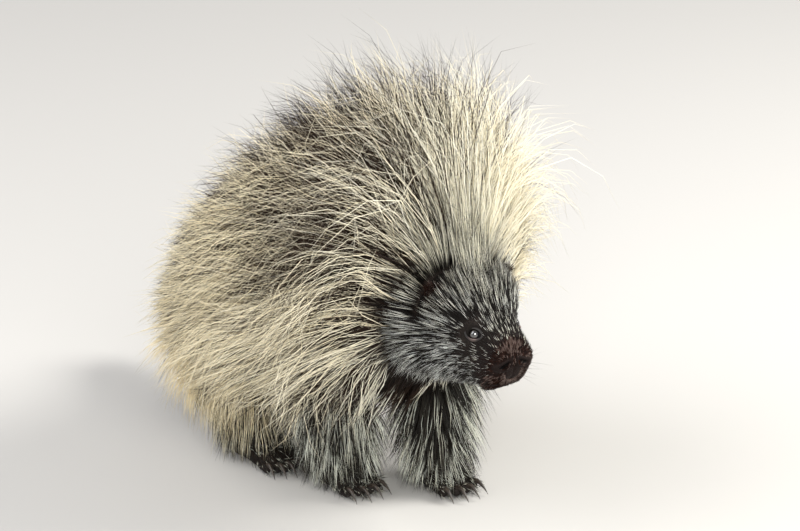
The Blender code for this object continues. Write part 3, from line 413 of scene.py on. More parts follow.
GATHER_EASE, GATHER_SPREAD, GATHER_MOST = 0.6, (0.7, 1.12), 0.97
WIDTH_SPREAD, PALE_WIDTHS = (0.75, 1.2), (1.15, 0.95)
# A tuft is pale or dark as a whole, but for this share of its hairs
LONE_HAIRS = 0.12
TONE_SPREAD, WARMTH_SPREAD, BAND_SPREAD = 0.15, 0.10, 0.08
NO_BAND = (0.95, 1.6)

# Spines of a length, with the radius of the root, the bend of the tip, and how late they taper
SPINE_SIZES = ("Length", "Radius", "Bend", "Fullness")
QUILL_SIZES = (0.062, 0.0009, 0.003, 5.0)
WHISKER_SIZES = (0.028, 0.00013, 0.007, 1.2)
WHISKER_START, WHISKER_STEP, WHISKER_TURN, WHISKER_ROW = 0.100, 0.0036, 94, 16
TIP_BLEND = 0.08

# Photograph: the camera's angle, and the pixel under the point between the forefeet
CAMERA_AZIMUTH, CAMERA_ELEVATION, CAMERA_DISTANCE = 50, 20, 4.5
PICTURE_WIDTH, SENSOR_WIDTH = 800, 36
PIXELS_PER_METRE = 1060
AIM_RIGHT, AIM_UP = 10, 220
# Lamps: place, size, power and colour
LAMPS = (("sky_softbox", (-1.4, -2.4, 2.3), 3.8, 148, (0.98, 0.98, 1.0)),
         ("front_softbox", (2.4, -1.5, 1.5), 1.6, 90, (1.0, 0.99, 0.96)),
         ("rim_softbox", (1.2, 1.8, 1.9), 1.4, 104, (1.0, 0.98, 0.94)))
LAMPS_AIM = (0, 0, 0.2)


def spline(keys, at):
    """Smooth curve through keys, whose first column is the place along it."""
    keys = np.asarray(keys, float)
    along, values = keys[:, 0], keys[:, 1:]
    slope = np.gradient(values, along, axis=0)
    at = np.clip(np.asarray(at, float), along[0], along[-1])
    i = np.clip(np.searchsorted(along, at, side="right") - 1, 0, len(along) - 2)
    step = (along[i + 1] - along[i])[..., None]
    q = (at - along[i])[..., None] / step
    start = (2 * q**3 - 3 * q**2 + 1) * values[i] + (q**3 - 2 * q**2 + q) * step * slope[i]
    end = (3 * q**2 - 2 * q**3) * values[i + 1] + (q**3 - q**2) * step * slope[i + 1]
    return start + end


def placed(at, yaw=0.0, pitch=0.0, roll=0.0):
    """Frame at a point, turned left by yaw, nose down by pitch and rolled, in degrees."""
    turn = Matrix.Rotation(math.radians(yaw), 4, "Z") @ Matrix.Rotation(math.radians(pitch), 4, "Y")
    return np.array(Matrix.Translation(at) @ turn @ Matrix.Rotation(math.radians(roll), 4, "X"))


def moved(place, points):
    """Points of a frame, in the world."""
    return np.asarray(points, float) @ place[:3, :3].T + place[:3, 3]


def within(place, points):
    """Points of the world, in a frame."""
    return (points - place[:3, 3]) @ place[:3, :3]


def unit(vector):
    """Vectors brought to a length of 1."""
    return vector / np.maximum(np.linalg.norm(vector, axis=-1, keepdims=True), TINY)


def hump(distance, width):
    """Smooth rise that is 1 at no distance and fades out past its width."""
    return np.exp(-(distance / width) ** 2)


def ramp(value, start, reach):
    """Straight rise from 0 at a start to 1 at a reach past it."""
    return np.clip((value - start) / reach, 0, 1)


def round_turn(count):
    """Angles once round."""
    return np.linspace(0, FULL_TURN, count, endpoint=False)


def ball_points(rings, around):
    """Angles off the axis and points of a ball with a radius of 1."""
    polar = np.linspace(0, math.pi, rings)[:, None]
    turn = round_turn(around)[None, :]
    return polar, np.stack([np.sin(polar) * np.cos(turn), np.sin(polar) * np.sin(turn),
                            np.cos(polar) + 0 * turn], -1)


class Loft:
    """A body part: rings across its axis, through stations, with rounded ends."""

    def __init__(self, keys, place=None, start=0.0, end=0.0, square=2.0, sole=None, relief=None):
        self.keys = keys
        self.place = np.eye(4) if place is None else place
        self.ends = (keys[0][0], keys[-1][0])
        self.rounding = (start, end)
        self.square = square
        self.sole = sole
        self.relief = relief

    def bare(self, along, turn):
        """Points without the relief, in the part's own frame."""
        y0, z0, wide, rise, drop = np.moveaxis(spline(self.keys, along), -1, 0)
        fade = np.ones_like(along)
        for end, rounding, sign in zip(self.ends, self.rounding, (1, -1)):
            if rounding:
                inside = np.clip(sign * (along - end) / rounding, 0, 1)
                fade = fade * np.sqrt(1 - (1 - inside) ** 2)
        power = 2 / self.square
        across = np.sign(np.cos(turn)) * np.abs(np.cos(turn)) ** power
        up = np.sign(np.sin(turn)) * np.abs(np.sin(turn)) ** power
        tall = np.where(np.sin(turn) > 0, rise, drop)
        points = np.stack([along, y0 + wide * fade * across, z0 + tall * fade * up], -1)
        if self.sole is not None:
            points[..., 2] = np.maximum(points[..., 2], self.sole)
        return points

    def normals(self, along, turn):
        """Outward normals in the part's own frame."""
        nudge = (self.ends[1] - self.ends[0]) * SLOPE_SHARE
        middle = np.clip(along, self.ends[0] + 4 * nudge, self.ends[1] - 4 * nudge)
        ahead = self.bare(middle + nudge, turn) - self.bare(middle - nudge, turn)
        around = self.bare(middle, turn + SLOPE_TURN) - self.bare(middle, turn - SLOPE_TURN)
        return unit(np.cross(around, ahead))

    def local(self, along, turn, grow=0.0):
        """Points along the axis and round it, grown outwards, in the part's own frame."""
        along, turn = np.broadcast_arrays(np.asarray(along, float), np.asarray(turn, float))
        points = self.bare(along, turn)
        if self.relief is not None:
            grow = grow + self.relief(points)
        return points + self.normals(along, turn) * np.broadcast_to(grow, along.shape)[..., None]

    def at(self, along, turn, grow=0.0):
        """The same points in the world."""
        return moved(self.place, self.local(along, turn, grow))

    def outward(self, along, turn):
        """Outward normals in the world."""
        return self.normals(np.asarray(along, float), np.asarray(turn, float)) @ self.place[:3, :3].T

    def holds(self, points):
        """Which points lie inside the part."""
        local = within(self.place, points)
        y0, z0, wide, rise, drop = np.moveaxis(spline(self.keys, local[..., 0]), -1, 0)
        tall = np.where(local[..., 2] > z0, rise, drop)
        reach = ((local[..., 1] - y0) / wide) ** 2 + ((local[..., 2] - z0) / tall) ** 2
        return (reach < 1) & (local[..., 0] > self.ends[0]) & (local[..., 0] < self.ends[1])

    def solid(self, rows, around, start=None, end=None):
        """The part as rings of points, closer together towards a rounded end."""
        first = self.ends[0] if start is None else start
        last = self.ends[1] if end is None else end
        q = np.linspace(0, 1, rows)
        left = bool(self.rounding[0]) and start is None
        right = bool(self.rounding[1]) and end is None
        if left and right:
            q = (1 - np.cos(q * math.pi)) / 2
        elif left:
            q = 1 - np.cos(q * math.pi / 2) * (1 - RING_SPREAD * q)
        elif right:
            q = np.sin(q * math.pi / 2) * (1 - RING_SPREAD * (1 - q))
        along = (first + (last - first) * (q - q[0]) / (q[-1] - q[0]))[:, None]
        rings = self.local(along, round_turn(around)[None, :])
        if not left:
            rings[0, :, 0] = along[0]
        if not right:
            rings[-1, :, 0] = along[-1]
        return ring_surface(moved(self.place, rings))


def ring_surface(rings):
    """Rings of points joined into a closed surface with flat ends."""
    rows, around = rings.shape[:2]
    faces = [tuple(range(around)), tuple((rows - 1) * around + j for j in range(around))]
    for i in range(rows - 1):
        for j in range(around):
            k = (j + 1) % around
            faces.append((i * around + j, i * around + k, (i + 1) * around + k, (i + 1) * around + j))
    return rings.reshape(-1, 3), faces


def torus_surface(rings):
    """Rings of points joined into a closed loop."""
    n, m = rings.shape[:2]
    faces = [(i * m + j, (i + 1) % n * m + j, (i + 1) % n * m + (j + 1) % m, i * m + (j + 1) % m)
             for i in range(n) for j in range(m)]
    return rings.reshape(-1, 3), faces


def joined_surfaces(surfaces):
    """Several closed surfaces as one list of points and faces."""
    points, faces, count = [], [], 0
    for surface in surfaces:
        points.append(np.asarray(surface[0]))
        faces += [tuple(v + count for v in face) for face in surface[1]]
        count += len(surface[0])
    return np.concatenate(points), faces


def ellipsoid(centre, axes, rings=7, around=10):
    """Closed ellipsoid whose half axes are the rows of axes."""
    return ring_surface(np.asarray(centre) + ball_points(rings, around)[1] @ np.asarray(axes))


def linked(name, data):
    """A new object in the scene."""
    thing = bpy.data.objects.new(name, data)
    bpy.context.collection.objects.link(thing)
    return thing


def points_of(mesh):
    """A mesh's points as an array."""
    points = np.empty(len(mesh.vertices) * 3)
    mesh.vertices.foreach_get("co", points)
    return points.reshape(-1, 3)


def mark_points(mesh, values, kind="FLOAT", field="value"):
    """Store values under their names on a mesh's points, for its finish to read."""
    for name, value in values.items():
        layer = mesh.attributes.new(name, kind, "POINT")
        layer.data.foreach_set(field, np.asarray(value, np.float32).ravel())


def new_object(name, surface):
    """Closed mesh object from points and faces, its faces turned outwards."""
    mesh = bpy.data.meshes.new(name)
    mesh.from_pydata([tuple(p) for p in np.asarray(surface[0]).tolist()], [], surface[1])
    shape = bmesh.new()
    shape.from_mesh(mesh)
    bmesh.ops.remove_doubles(shape, verts=shape.verts, dist=MERGE_DISTANCE)
    bmesh.ops.dissolve_degenerate(shape, edges=shape.edges, dist=EMPTY_EDGE)
    bmesh.ops.recalc_face_normals(shape, faces=shape.faces)
    shape.to_mesh(mesh)
    shape.free()
    return linked(name, mesh)


def apply_modifiers(thing):
    """Turn what an object's modifiers make into its plain mesh."""
    finished = thing.evaluated_get(bpy.context.evaluated_depsgraph_get())
    mesh = bpy.data.meshes.new_from_object(finished)
    thing.modifiers.clear()
    thing.data = mesh


def combine(thing, surfaces, operation):
    """Join or cut an object with closed surfaces in one step."""
    group = bpy.data.collections.new(thing.name + "_pieces")
    bpy.context.scene.collection.children.link(group)
    for i, surface in enumerate(surfaces):
        piece = new_object("%s_piece_%d" % (thing.name, i), surface)
        bpy.context.collection.objects.unlink(piece)
        group.objects.link(piece)
    step = thing.modifiers.new("combine", "BOOLEAN")
    step.operation = operation
    step.solver = "MANIFOLD"
    step.operand_type = "COLLECTION"
    step.collection = group
    apply_modifiers(thing)
    for piece in list(group.objects):
        bpy.data.objects.remove(piece, do_unlink=True)
    bpy.data.collections.remove(group)


def surface_of(thing):
    """Points and faces of an object, which is then removed."""
    surface = points_of(thing.data), [tuple(p.vertices) for p in thing.data.polygons]
    bpy.data.objects.remove(thing, do_unlink=True)
    return surface


def finished(thing, slot, nodes=(), smooth=True):
    """Set smooth shading on a piece, set it on the body and hide the solids that it stands for; the name of
    its finish is not used.
    """
    thing.data.polygons.foreach_set("use_smooth", [smooth] * len(thing.data.polygons))
    thing.data.update()
    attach(thing, "root")
    if nodes:
        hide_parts(*nodes)
    return thing


def down_angle(turn):
    """Degrees down from the spine, for angles round a part."""
    return np.degrees(np.abs(np.angle(np.exp(1j * (np.asarray(turn) - math.pi / 2)))))


def table_value(table, stations, along, turn):
    """A table of the coat read at places along a part and angles round it."""
    along, down = np.broadcast_arrays(np.asarray(along, float), down_angle(turn))
    rows = np.array([np.interp(down, ANGLES, row) for row in table])
    place = np.clip(np.interp(along, stations, range(len(stations))), 0, len(table) - 1.001)
    i = place.astype(int)
    q = place - i
    low = np.take_along_axis(rows, i[None], 0)[0]
    high = np.take_along_axis(rows, i[None] + 1, 0)[0]
    return low + (high - low) * q


def head_relief(local):
    """Height of the head's swellings and hollows at points in its own frame."""
    height = np.zeros(local.shape[:-1])
    for (along, out, up), radius, rise in HEAD_RELIEF:
        for side in (1, -1) if out else (1,):
            away = ((local - np.array((along, side * out, up))) ** 2).sum(-1)
            height += rise * np.exp(-away / radius**2)
    return height


def muzzle_turn(local):
    """Angle of points round the muzzle, seen from above."""
    return np.arctan2(local[..., 1], local[..., 0] - MOUTH_CENTRE)


def mouth_line(local):
    """Height of points above the line of the mouth, and how open it is there."""
    share = np.abs(np.degrees(muzzle_turn(local))) / MOUTH_SPAN
    up = local[..., 2] - (MOUTH_FRONT_UP + (MOUTH_CORNER_UP - MOUTH_FRONT_UP) * share**2)
    fade = np.clip((MOUTH_END - share) / MOUTH_END_FADE, 0, 1)
    return up, fade * (local[..., 0] > MOUTH_CENTRE - MOUTH_BACK)


def mouth_relief(local):
    """The line of the mouth between two soft lips."""
    up, fade = mouth_line(local)
    lips = LIP_HEIGHT * (hump(up - LIP_OFFSET, LIP_WIDTH) + LOWER_LIP * hump(up + LIP_OFFSET, LIP_WIDTH))
    return fade * (lips - MOUTH_DEPTH * hump(up, MOUTH_WIDTH))


def nostril_reach(local):
    """Distance from the nearer nostril's middle, where 1 is its edge. Nostrils are comma shapes."""
    up = local[..., 2] - NOSTRIL_UP
    tilt = math.radians(NOSTRIL_TILT)
    found = []
    for side, _ in SIDES:
        out = (muzzle_turn(local) * side - math.radians(NOSTRIL_ANGLE)) * MUZZLE_REACH
        long = out * math.cos(tilt) + up * math.sin(tilt)
        tall = up * math.cos(tilt) - out * math.sin(tilt) - NOSTRIL_CURL * long**2
        found.append(np.sqrt((long / NOSTRIL_LONG) ** 2 + (tall / NOSTRIL_TALL) ** 2))
    return np.minimum(*found) + NO_NOSTRIL * (local[..., 0] < MOUTH_CENTRE)


def nostril_relief(local):
    """Nostrils with a raised rim, and a shallow groove between them."""
    away = nostril_reach(local)
    height = -NOSTRIL_DEPTH * np.clip(NOSTRIL_EDGE - away, 0, 1) ** NOSTRIL_HOLLOW
    height = height + RIM_HEIGHT * hump(away - RIM_AT, RIM_WIDTH)
    groove = -GROOVE_DEPTH * hump(muzzle_turn(local) * MUZZLE_REACH, GROOVE_WIDTH)
    return height + groove * (local[..., 2] < GROOVE_TOP) * (local[..., 0] > MOUTH_CENTRE)


def openings(local):
    """How far points lie in a nostril or the mouth, from 0 outside to 1."""
    up, fade = mouth_line(local)
    nostril = np.clip((OPENING_EDGE - nostril_reach(local)) / OPENING_FADE, 0, 1)
    return np.maximum(nostril, fade * hump(up, OPENING_WIDTH))


def eye_reach(local):
    """Distance of points of the head from the nearer eye's centre."""
    return np.minimum(*(np.linalg.norm(local - EYE_LOCAL[side], axis=-1) for side, _ in SIDES))


def ahead_of_cleft(along, turn):
    """How far places of the head lie in front of the ear's cleft, and where there is one."""
    down = down_angle(turn)
    return along - np.interp(down, *EAR_CLEFT), (down > EAR_CLEFT[0][0]) & (down < EAR_CLEFT[0][-1])


def in_cleft(local):
    """Which points of the head lie in an ear's cleft, between short fur and the ear."""
    turn = np.arctan2(local[..., 2], local[..., 1])
    ahead, across = ahead_of_cleft(local[..., 0], turn)
    width = np.interp(down_angle(turn), EAR_CLEFT[0], EAR_CLEFT_WIDTHS)
    return across & (ahead < CLEFT_LEAD) & (ahead > -width)


def folds(across, along, height, middle, reach, spacing, bend, pace):
    """Fine bent waves of the skin, highest at a middle and fading out past a reach."""
    waves = np.sin(across * FULL_TURN / spacing + bend * np.sin(along * pace))
    return height * waves * hump(across - middle, reach)


def face_relief(local):
    """All forms of the face's skin, with fine folds round the eyes and along the muzzle."""
    height = head_relief(local) + mouth_relief(local) + nostril_relief(local)
    reach = eye_reach(local)
    ring = EYE_RING_HEIGHT * hump(reach - EYE_RING_RADIUS, EYE_RING_WIDTH)
    height += folds(reach, local[..., 0], *EYE_FOLDS) + ring
    return height + folds(local[..., 0], local[..., 2], *MUZZLE_CREASES)


BODY = Loft(BODY_KEYS, start=RUMP_ROUNDING)
HEAD = Loft(HEAD_KEYS, placed(HEAD_PLACE, HEAD_YAW, HEAD_PITCH), end=MUZZLE_ROUNDING,
            square=HEAD_SQUARE, relief=head_relief)
TAIL = Loft(TAIL_KEYS, placed(TAIL_PLACE, TAIL_YAW, TAIL_PITCH), start=TAIL_TIP_ROUNDING,
            end=TAIL_END_ROUNDING)
# A leg's own axis points up, and its rise is towards the tail
UPRIGHT = np.array([[0, 0, -1, 0], [0, 1, 0, 0], [1, 0, 0, 0], [0, 0, 0, 1]], float)
LEGS = {name: Loft(keys, UPRIGHT.copy(), end=LEG_TOP_ROUNDING) for name, keys in LEG_KEYS.items()}


def eye_frame(side):
    """Centre of an eye, with its outward, forward and upward directions."""
    turn = math.radians(90 - side * (90 - EYE_TURN))
    outward = HEAD.outward(EYE_ALONG, turn)
    centre = HEAD.at(EYE_ALONG, turn) - outward * EYE_SINK
    forward = HEAD.place[:3, 0]
    forward = unit(forward - outward * (forward @ outward))
    up = np.cross(forward, outward) * side
    tilt = math.radians(LID_TILT)
    return (centre, outward, forward * math.cos(tilt) + up * math.sin(tilt),
            up * math.cos(tilt) - forward * math.sin(tilt))


# The solid model's origin is under the middle of its box, so every part moves by the eye's offset
LOW, HIGH = (np.array(corner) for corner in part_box("eye_left"))
ORIGIN = (LOW + HIGH) / 2 - eye_frame(1)[0]
for part in (BODY, HEAD, TAIL, *LEGS.values()):
    part.place[:3, 3] += ORIGIN
EYE_LOCAL = {side: within(HEAD.place, eye_frame(side)[0]) for side, _ in SIDES}


def behind_head(points):
    """Distance of points behind the head's back plane."""
    return (moved(HEAD.place, (HEAD_BACK, 0, 0)) - points) @ HEAD.place[:3, 0]


def half_space(place, along, size=0.5):
    """A large block in front of a plane across a frame's axis."""
    corners = np.array([(x, y, z) for x in (0, 1) for y in (-1, 1) for z in (-1, 1)], float)
    corners = corners * size + (along, 0, 0)
    faces = [(0, 1, 3, 2), (4, 6, 7, 5), (0, 4, 5, 1), (2, 3, 7, 6), (0, 2, 6, 4), (1, 5, 7, 3)]
    return moved(place, corners), faces


def foot_place(name):
    """Frame of a foot, on the floor under the middle of its sole."""
    (x, y), yaw = FOOT_SIZES[name][:2]
    return placed(np.array((x, y, 0)) + ORIGIN, yaw)


def toe_places(name):
    """Middle, forward and sideways direction of each toe, in the foot's frame."""
    _, _, length, half_width, toes = FOOT_SIZES[name]
    found = []
    for i in range(toes):
        share = (i - (toes - 1) / 2) / ((toes - 1) / 2)
        turn = math.radians(TOE_FAN * share)
        ahead = np.array((math.cos(turn), -math.sin(turn), 0))
        across = np.array((math.sin(turn), math.cos(turn), 0))
        middle = np.array((length / 2 - TOE_BACK - TOE_ARC * share**2, share * half_width * TOE_SPREAD,
                           TOE_RADIUS + TOE_RAISE))
        found.append((middle, ahead, across))
    return found


def foot_surface(name, leg):
    """Foot on a flat sole, with its toes and ankle grown together."""
    _, _, length, half_width, _ = FOOT_SIZES[name]
    place = foot_place(name)
    keys = [(length / 2 * along + offset, 0, up, wide * half_width, rise, drop)
            for along, offset, up, wide, rise, drop in SOLE_KEYS]
    sole = Loft(keys, place, HEEL_ROUNDING, SOLE_ROUNDING, SOLE_SQUARE, sole=0.0)
    size = LEG_KEYS[leg][0][1:]
    ankle = Loft([(ANKLE_FOOT, *size), (ANKLE_HEIGHT + ANKLE_OVERLAP, *size)], LEGS[leg].place)
    pieces = [ankle.solid(6, 32)]
    for middle, ahead, across in toe_places(name):
        for share, size in TOE_BALLS:
            axes = [ahead * TOE_LENGTH * TOE_BALL_LONG, across * TOE_RADIUS * TOE_BALL_WIDE * size,
                    (0, 0, TOE_RADIUS * size)]
            points, faces = ellipsoid(middle + ahead * TOE_LENGTH * share, axes, 10, 14)
            pieces.append((moved(place, points), faces))
    foot = new_object(name + "_skin", sole.solid(26, 40))
    combine(foot, pieces, "UNION")
    step = foot.modifiers.new("grain", "REMESH")
    step.mode = "VOXEL"
    step.voxel_size = SKIN_GRAIN
    step = foot.modifiers.new("smooth", "SMOOTH")
    step.factor, step.iterations = 0.5, 3
    apply_modifiers(foot)
    for point in foot.data.vertices:
        point.co.z = max(point.co.z, LOWEST_SKIN)
    return surface_of(foot)


def ear_place(side):
    """Frame of the head at the root of an ear."""
    return HEAD.place @ placed((EAR_AT[0], side * EAR_AT[1], EAR_AT[2]))


def ear_surface(side):
    """Small rounded cup of an ear with a rolled rim, on one side of the head."""
    lean = placed((0, 0, 0), side * EAR_TURN, -EAR_LEAN_BACK) @ placed((0, 0, 0), 0, 0, -side * EAR_LEAN_OUT)
    turn = round_turn(56)[None, :]
    q = np.linspace(0, 1, 30)[:, None]
    reach = np.sin(np.minimum(q, 1 - q) * math.pi)
    fold = EAR_FOLD_HEIGHT * np.sin(turn * EAR_FOLDS + 1.0) * reach * (1 - reach)
    cup = -EAR_DEPTH * (1 - reach**2) - ramp(q, EAR_ROLL_FROM, EAR_ROLL_SHARE) * EAR_WALL + fold
    wide = reach * np.cos(turn) * EAR_WIDTH / 2 * (1 - EAR_EGG + EAR_EGG * np.sin(turn))
    tall = reach * np.sin(turn) * EAR_HEIGHT / 2 + EAR_HEIGHT * EAR_RAISE
    points, faces = ring_surface(np.stack([cup + 0 * turn, wide, tall + 0 * cup], -1))
    return moved(ear_place(side) @ lean, points), faces


def make_skin(material, feet):
    """One skin over body, head, ears, tail, legs and feet."""
    skin = new_object("skin", BODY.solid(60, 96))
    combine(skin, [half_space(HEAD.place, HEAD_BACK + NECK_OVERLAP)], "DIFFERENCE")
    face = Loft(HEAD_KEYS, HEAD.place, end=MUZZLE_ROUNDING, square=HEAD_SQUARE, relief=face_relief)
    limbs = [TAIL.solid(36, 40), *(part.solid(28, 36) for part in LEGS.values()), *feet.values()]
    limbs += [ear_surface(side) for side, _ in SIDES]
    head = new_object("head_skin", face.solid(150, 190, start=HEAD_BACK))
    axes = np.eye(3) * (EYE_RADIUS + SOCKET_GAP)
    combine(head, [ellipsoid(eye_frame(side)[0], axes, 24, 32) for side, _ in SIDES], "DIFFERENCE")
    combine(skin, [surface_of(head), *limbs], "UNION")
    skin.data.materials.clear()
    skin.data.materials.append(material)
    points = points_of(skin.data)
    local = within(HEAD.place, points)
    velvet = ramp(-behind_head(points), VELVET_START, VELVET_FADE)
    # Painted shade in the nostrils, along the mouth's line and in the ear's cleft, stored as dark; the skin
    # is also darker round the eyes
    dark = np.maximum(hump(eye_reach(local), EYE_SHADE), openings(local) * (velvet > 0))
    dark = np.maximum(dark, CLEFT_PAINTED_SHADE * (in_cleft(local) & (behind_head(points) < CLEFT_BACK)))
    bare = ramp(-points[:, 2], -BARE_TOP, BARE_FADE)
    mark_points(skin.data, {"velvet": velvet, "bare": bare, "dark": dark})
    nodes = ["torso", "neck", "head", "tail", "ear_left", "ear_right", *LEG_KEYS, *FOOT_SIZES]
    return finished(skin, "face_fur", nodes)


def make_lids(side, word, material):
    """Both lids of one eye: a soft rim that comes to corners, with a moist edge."""
    centre, outward, forward, up = eye_frame(side)
    turn = round_turn(64)[:, None]
    spread, rise = (np.array(column)[None, :] for column in zip(*LID_PROFILE))
    almond = 1 - LID_PINCH * np.abs(np.cos(turn)) ** 3
    long = (LID_HALF_LENGTH + spread) * np.cos(turn)
    tall = LID_HALF_HEIGHT + spread * (LOWER_SPREAD + UPPER_SPREAD * (np.sin(turn) > 0))
    tall = tall * np.sin(turn) * almond
    ball = (EYE_RADIUS + rise) ** 2 - long**2 - tall**2
    over = np.sqrt(np.maximum(ball, (LID_CORNER_HEIGHT + rise) ** 2))
    rings = centre + long[..., None] * forward + tall[..., None] * up + over[..., None] * outward
    lids = new_object("eyelids_" + word, torus_surface(rings))
    lids.data.materials.append(material)
    away = points_of(lids.data) - centre
    edge = hump(np.linalg.norm(away, axis=-1) - EYE_RADIUS - MOIST_HEIGHT, MOIST_WIDTH)
    edge = edge * np.clip((away @ forward * MOIST_FRONT - away @ up) / EYE_RADIUS, 0, 1)
    mark_points(lids.data, {"moist": edge})
    return finished(lids, "lid_skin")


def make_eye(side, word, material):
    """Eyeball with a bulging cornea, its centre line marked for the iris and pupil."""
    centre, outward, forward, up = eye_frame(side)
    polar, ball = ball_points(40, 48)
    radius = EYE_RADIUS * (1 + CORNEA_BULGE * np.exp(-(polar / CORNEA_WIDTH) ** 4))
    ball = radius[..., None] * ball
    eye = new_object("eyeball_" + word, ring_surface(centre + ball @ np.array([forward, up, outward])))
    eye.data.materials.append(material)
    off_axis = np.arccos(np.clip(unit(points_of(eye.data) - centre) @ outward, -1, 1))
    mark_points(eye.data, {"off_axis": np.degrees(off_axis)})
    return finished(eye, "eye_glass", ["eye_" + word])


def make_claws(material):
    """Long curved claws, flattened at the sides and worn at the tip."""
    surfaces = []
    for name in FOOT_SIZES:
        for middle, ahead, across in toe_places(name):
            t = np.linspace(0, 1, 12)[:, None]
            start = middle + ahead * TOE_LENGTH * CLAW_ROOT + (0, 0, CLAW_RAISE)
            rise = CLAW_ARCH * np.sin(t * 3.0) - (start[2] - CLAW_TIP_UP) * t**1.6
            path = start + ahead * (CLAW_LENGTH + CLAW_OVERHANG) * t + UP * rise
            size = CLAW_RADIUS * (1 - t[:, 0] ** 2.2) ** 0.8 * (1 + CLAW_RIPPLE * np.sin(t[:, 0] * 40))
            size[-1] = CLAW_TIP_RADIUS
            turn = round_turn(12)[None, :, None]
            ring = np.cos(turn) * (across * CLAW_FLAT * size[:, None])[:, None]
            points, faces = ring_surface(path[:, None] + ring + np.sin(turn) * (UP * size[:, None])[:, None])
            surfaces.append((moved(foot_place(name), points), faces))
    claws = new_object("claws", joined_surfaces(surfaces))
    claws.data.materials.append(material)
    return finished(claws, "claw_horn")


def scattered(part, count, rng, start, end, weight=None, rows=150, around=180):
    """Places spread evenly over a part, as stations along it and angles round it."""
    along, turn = np.linspace(start, end, rows + 1), np.linspace(0, FULL_TURN, around + 1)
    corners = part.at(along[:, None], turn[None, :])
    first = corners[:-1, :-1]
    area = np.linalg.norm(np.cross(corners[1:, :-1] - first, corners[:-1, 1:] - first), axis=-1)
    if weight is not None:
        area = area * weight((along[1:] + along[:-1])[:, None] / 2, (turn[1:] + turn[:-1])[None, :] / 2)
    total = np.cumsum(area.ravel())
    picks = np.searchsorted(total, (np.arange(count) + rng.uniform(0, 1, count)) / count * total[-1])
    i, j = np.divmod(np.minimum(picks, rows * around - 1), around)
    return (along[i] + rng.uniform(0, 1, count) * (along[1] - along[0]),
            turn[j] + rng.uniform(0, 1, count) * (turn[1] - turn[0]))


def lying(flow, outward):
    """Directions along a surface, nearest to a flow."""
    return unit(flow - outward * (flow * outward).sum(-1)[:, None])


def bake_places(part, along, turn):
    """Place of each root on the sheet that the finish is baked on."""
    share = (along - part.ends[0]) / (part.ends[1] - part.ends[0])
    return np.clip(np.stack([share, turn / FULL_TURN % 1], -1), 0, 1)


def roots_on(part, along, turn, slant):
    """Root points, outward directions, and the lie of the coat there."""
    outward = part.outward(along, turn)
    slant = np.radians(slant)[:, None]
    flow = -part.place[:3, 0] * np.cos(slant) - UP * np.sin(slant)
    return part.at(along, turn, ROOT_DEPTH), outward, lying(flow, outward)


def hair_paths(base, outward, lie, style, steps):
    """Curved centre lines from root to tip, as (hair, step, xyz)."""
    t = np.linspace(0, 1, steps + 1)[None, :]
    style = {key: value[:, None] for key, value in style.items()}
    lift = np.radians(style["root_lift"] + (style["tip_lift"] - style["root_lift"]) * t**LIFT_EASE)
    sway = style["wave"] * np.sin(t * WAVE_PACE + style["phase"] * t)
    sway = sway + style["bow"] * t**BOW_EASE
    lean = lie[:, None] * np.cos(sway)[..., None]
    lean = lean + np.cross(outward, lie)[:, None] * np.sin(sway)[..., None]
    heading = unit(lean * np.cos(lift)[..., None] + outward[:, None] * np.sin(lift)[..., None])
    heading = unit(heading - UP * (style["droop"] * t**DROOP_EASE)[..., None])
    legs = (heading[:, 1:] + heading[:, :-1]) / 2 * (style["length"] / steps)[..., None]
    path = np.concatenate([np.zeros((len(base), 1, 3)), np.cumsum(legs, 1)], 1)
    return path + outward[:, None] * (style["stem"] * np.minimum(1, t / STEM_SHARE))[..., None]


def drift(along, turn, seed):
    """Smooth change from place to place, between about -1 and 1, that bends whole wisps of hair."""
    rng = np.random.default_rng(seed)
    value = np.zeros(len(along))
    bend, round_pace, along_pace = DRIFT_BEND
    for _ in range(DRIFT_WAVES):
        swing = rng.uniform(*DRIFT_ALONG) * along + rng.integers(*DRIFT_ROUND) * turn
        swing = swing + rng.uniform(0, FULL_TURN)
        value += np.sin(swing + bend * np.sin(round_pace * turn + along_pace * along)) / 3
    return value


def styled(look, along, turn, rng, spread, seed):
    """The coat's sizes at places, each varied by its spread."""
    style = look(along, turn)
    n = len(along)
    style.setdefault("droop", np.zeros(n))
    style["slant"] = style["slant"] + spread["drift"] * drift(along, turn, seed)
    style["tip_lift"] = style["tip_lift"] + 0.6 * spread["drift"] * drift(along, turn, seed + 1)
    style["droop"] = style["droop"] * rng.uniform(0.5, 1.5, n)
    style["length"] = style["length"] * rng.uniform(1 - 1.6 * spread["length"], 1 + spread["length"], n)
    style["root_lift"] = style["root_lift"] + rng.normal(0, spread["lift"] * 0.6, n)
    style["tip_lift"] = style["tip_lift"] + rng.normal(0, spread["lift"], n)
    style["slant"] = style["slant"] + rng.normal(0, spread["slant"], n)
    style["wave"] = rng.normal(0, spread["wave"], n)
    style["phase"] = rng.uniform(-1.5, 1.5, n)
    style["bow"] = rng.normal(0, spread["bow"], n)
    return style


def inside_limits(path):
    """Shorten hairs that leave the model's box and lay those that reach the floor on it."""
    low, high = (np.array(corner) for corner in CAD_BOX)
    base = path[:, :1]
    over = np.maximum(path - (high + BOX_MARGIN), (low - BOX_MARGIN) - path).max(-1)
    reach = np.maximum(path - base, base - path).max(-1) + 1e-6
    share = np.clip(1 - np.maximum(over / reach, 0).max(1), SHORTEST_SHARE, 1)
    path = base + (path - base) * share[:, None, None]
    path[..., 2] = np.maximum(path[..., 2], FLOOR_CLEARANCE + FLOOR_STEP * np.arange(path.shape[1]))
    return path


def clear_of_eyes(path):
    """Which hairs keep off both eyes, seen from outside."""
    keep = np.ones(len(path), bool)
    low, high = EYE_OVAL_HEIGHTS
    for side, _ in SIDES:
        centre, outward, forward, up = eye_frame(side)
        away = path - centre
        height = away @ outward
        round_it = np.sqrt(((away @ forward) / EYE_OVAL_LONG) ** 2 + (away @ up) ** 2)
        keep &= ~((round_it < EYE_OVAL_RADIUS) & (height > low) & (height < high)).any(1)
    return keep


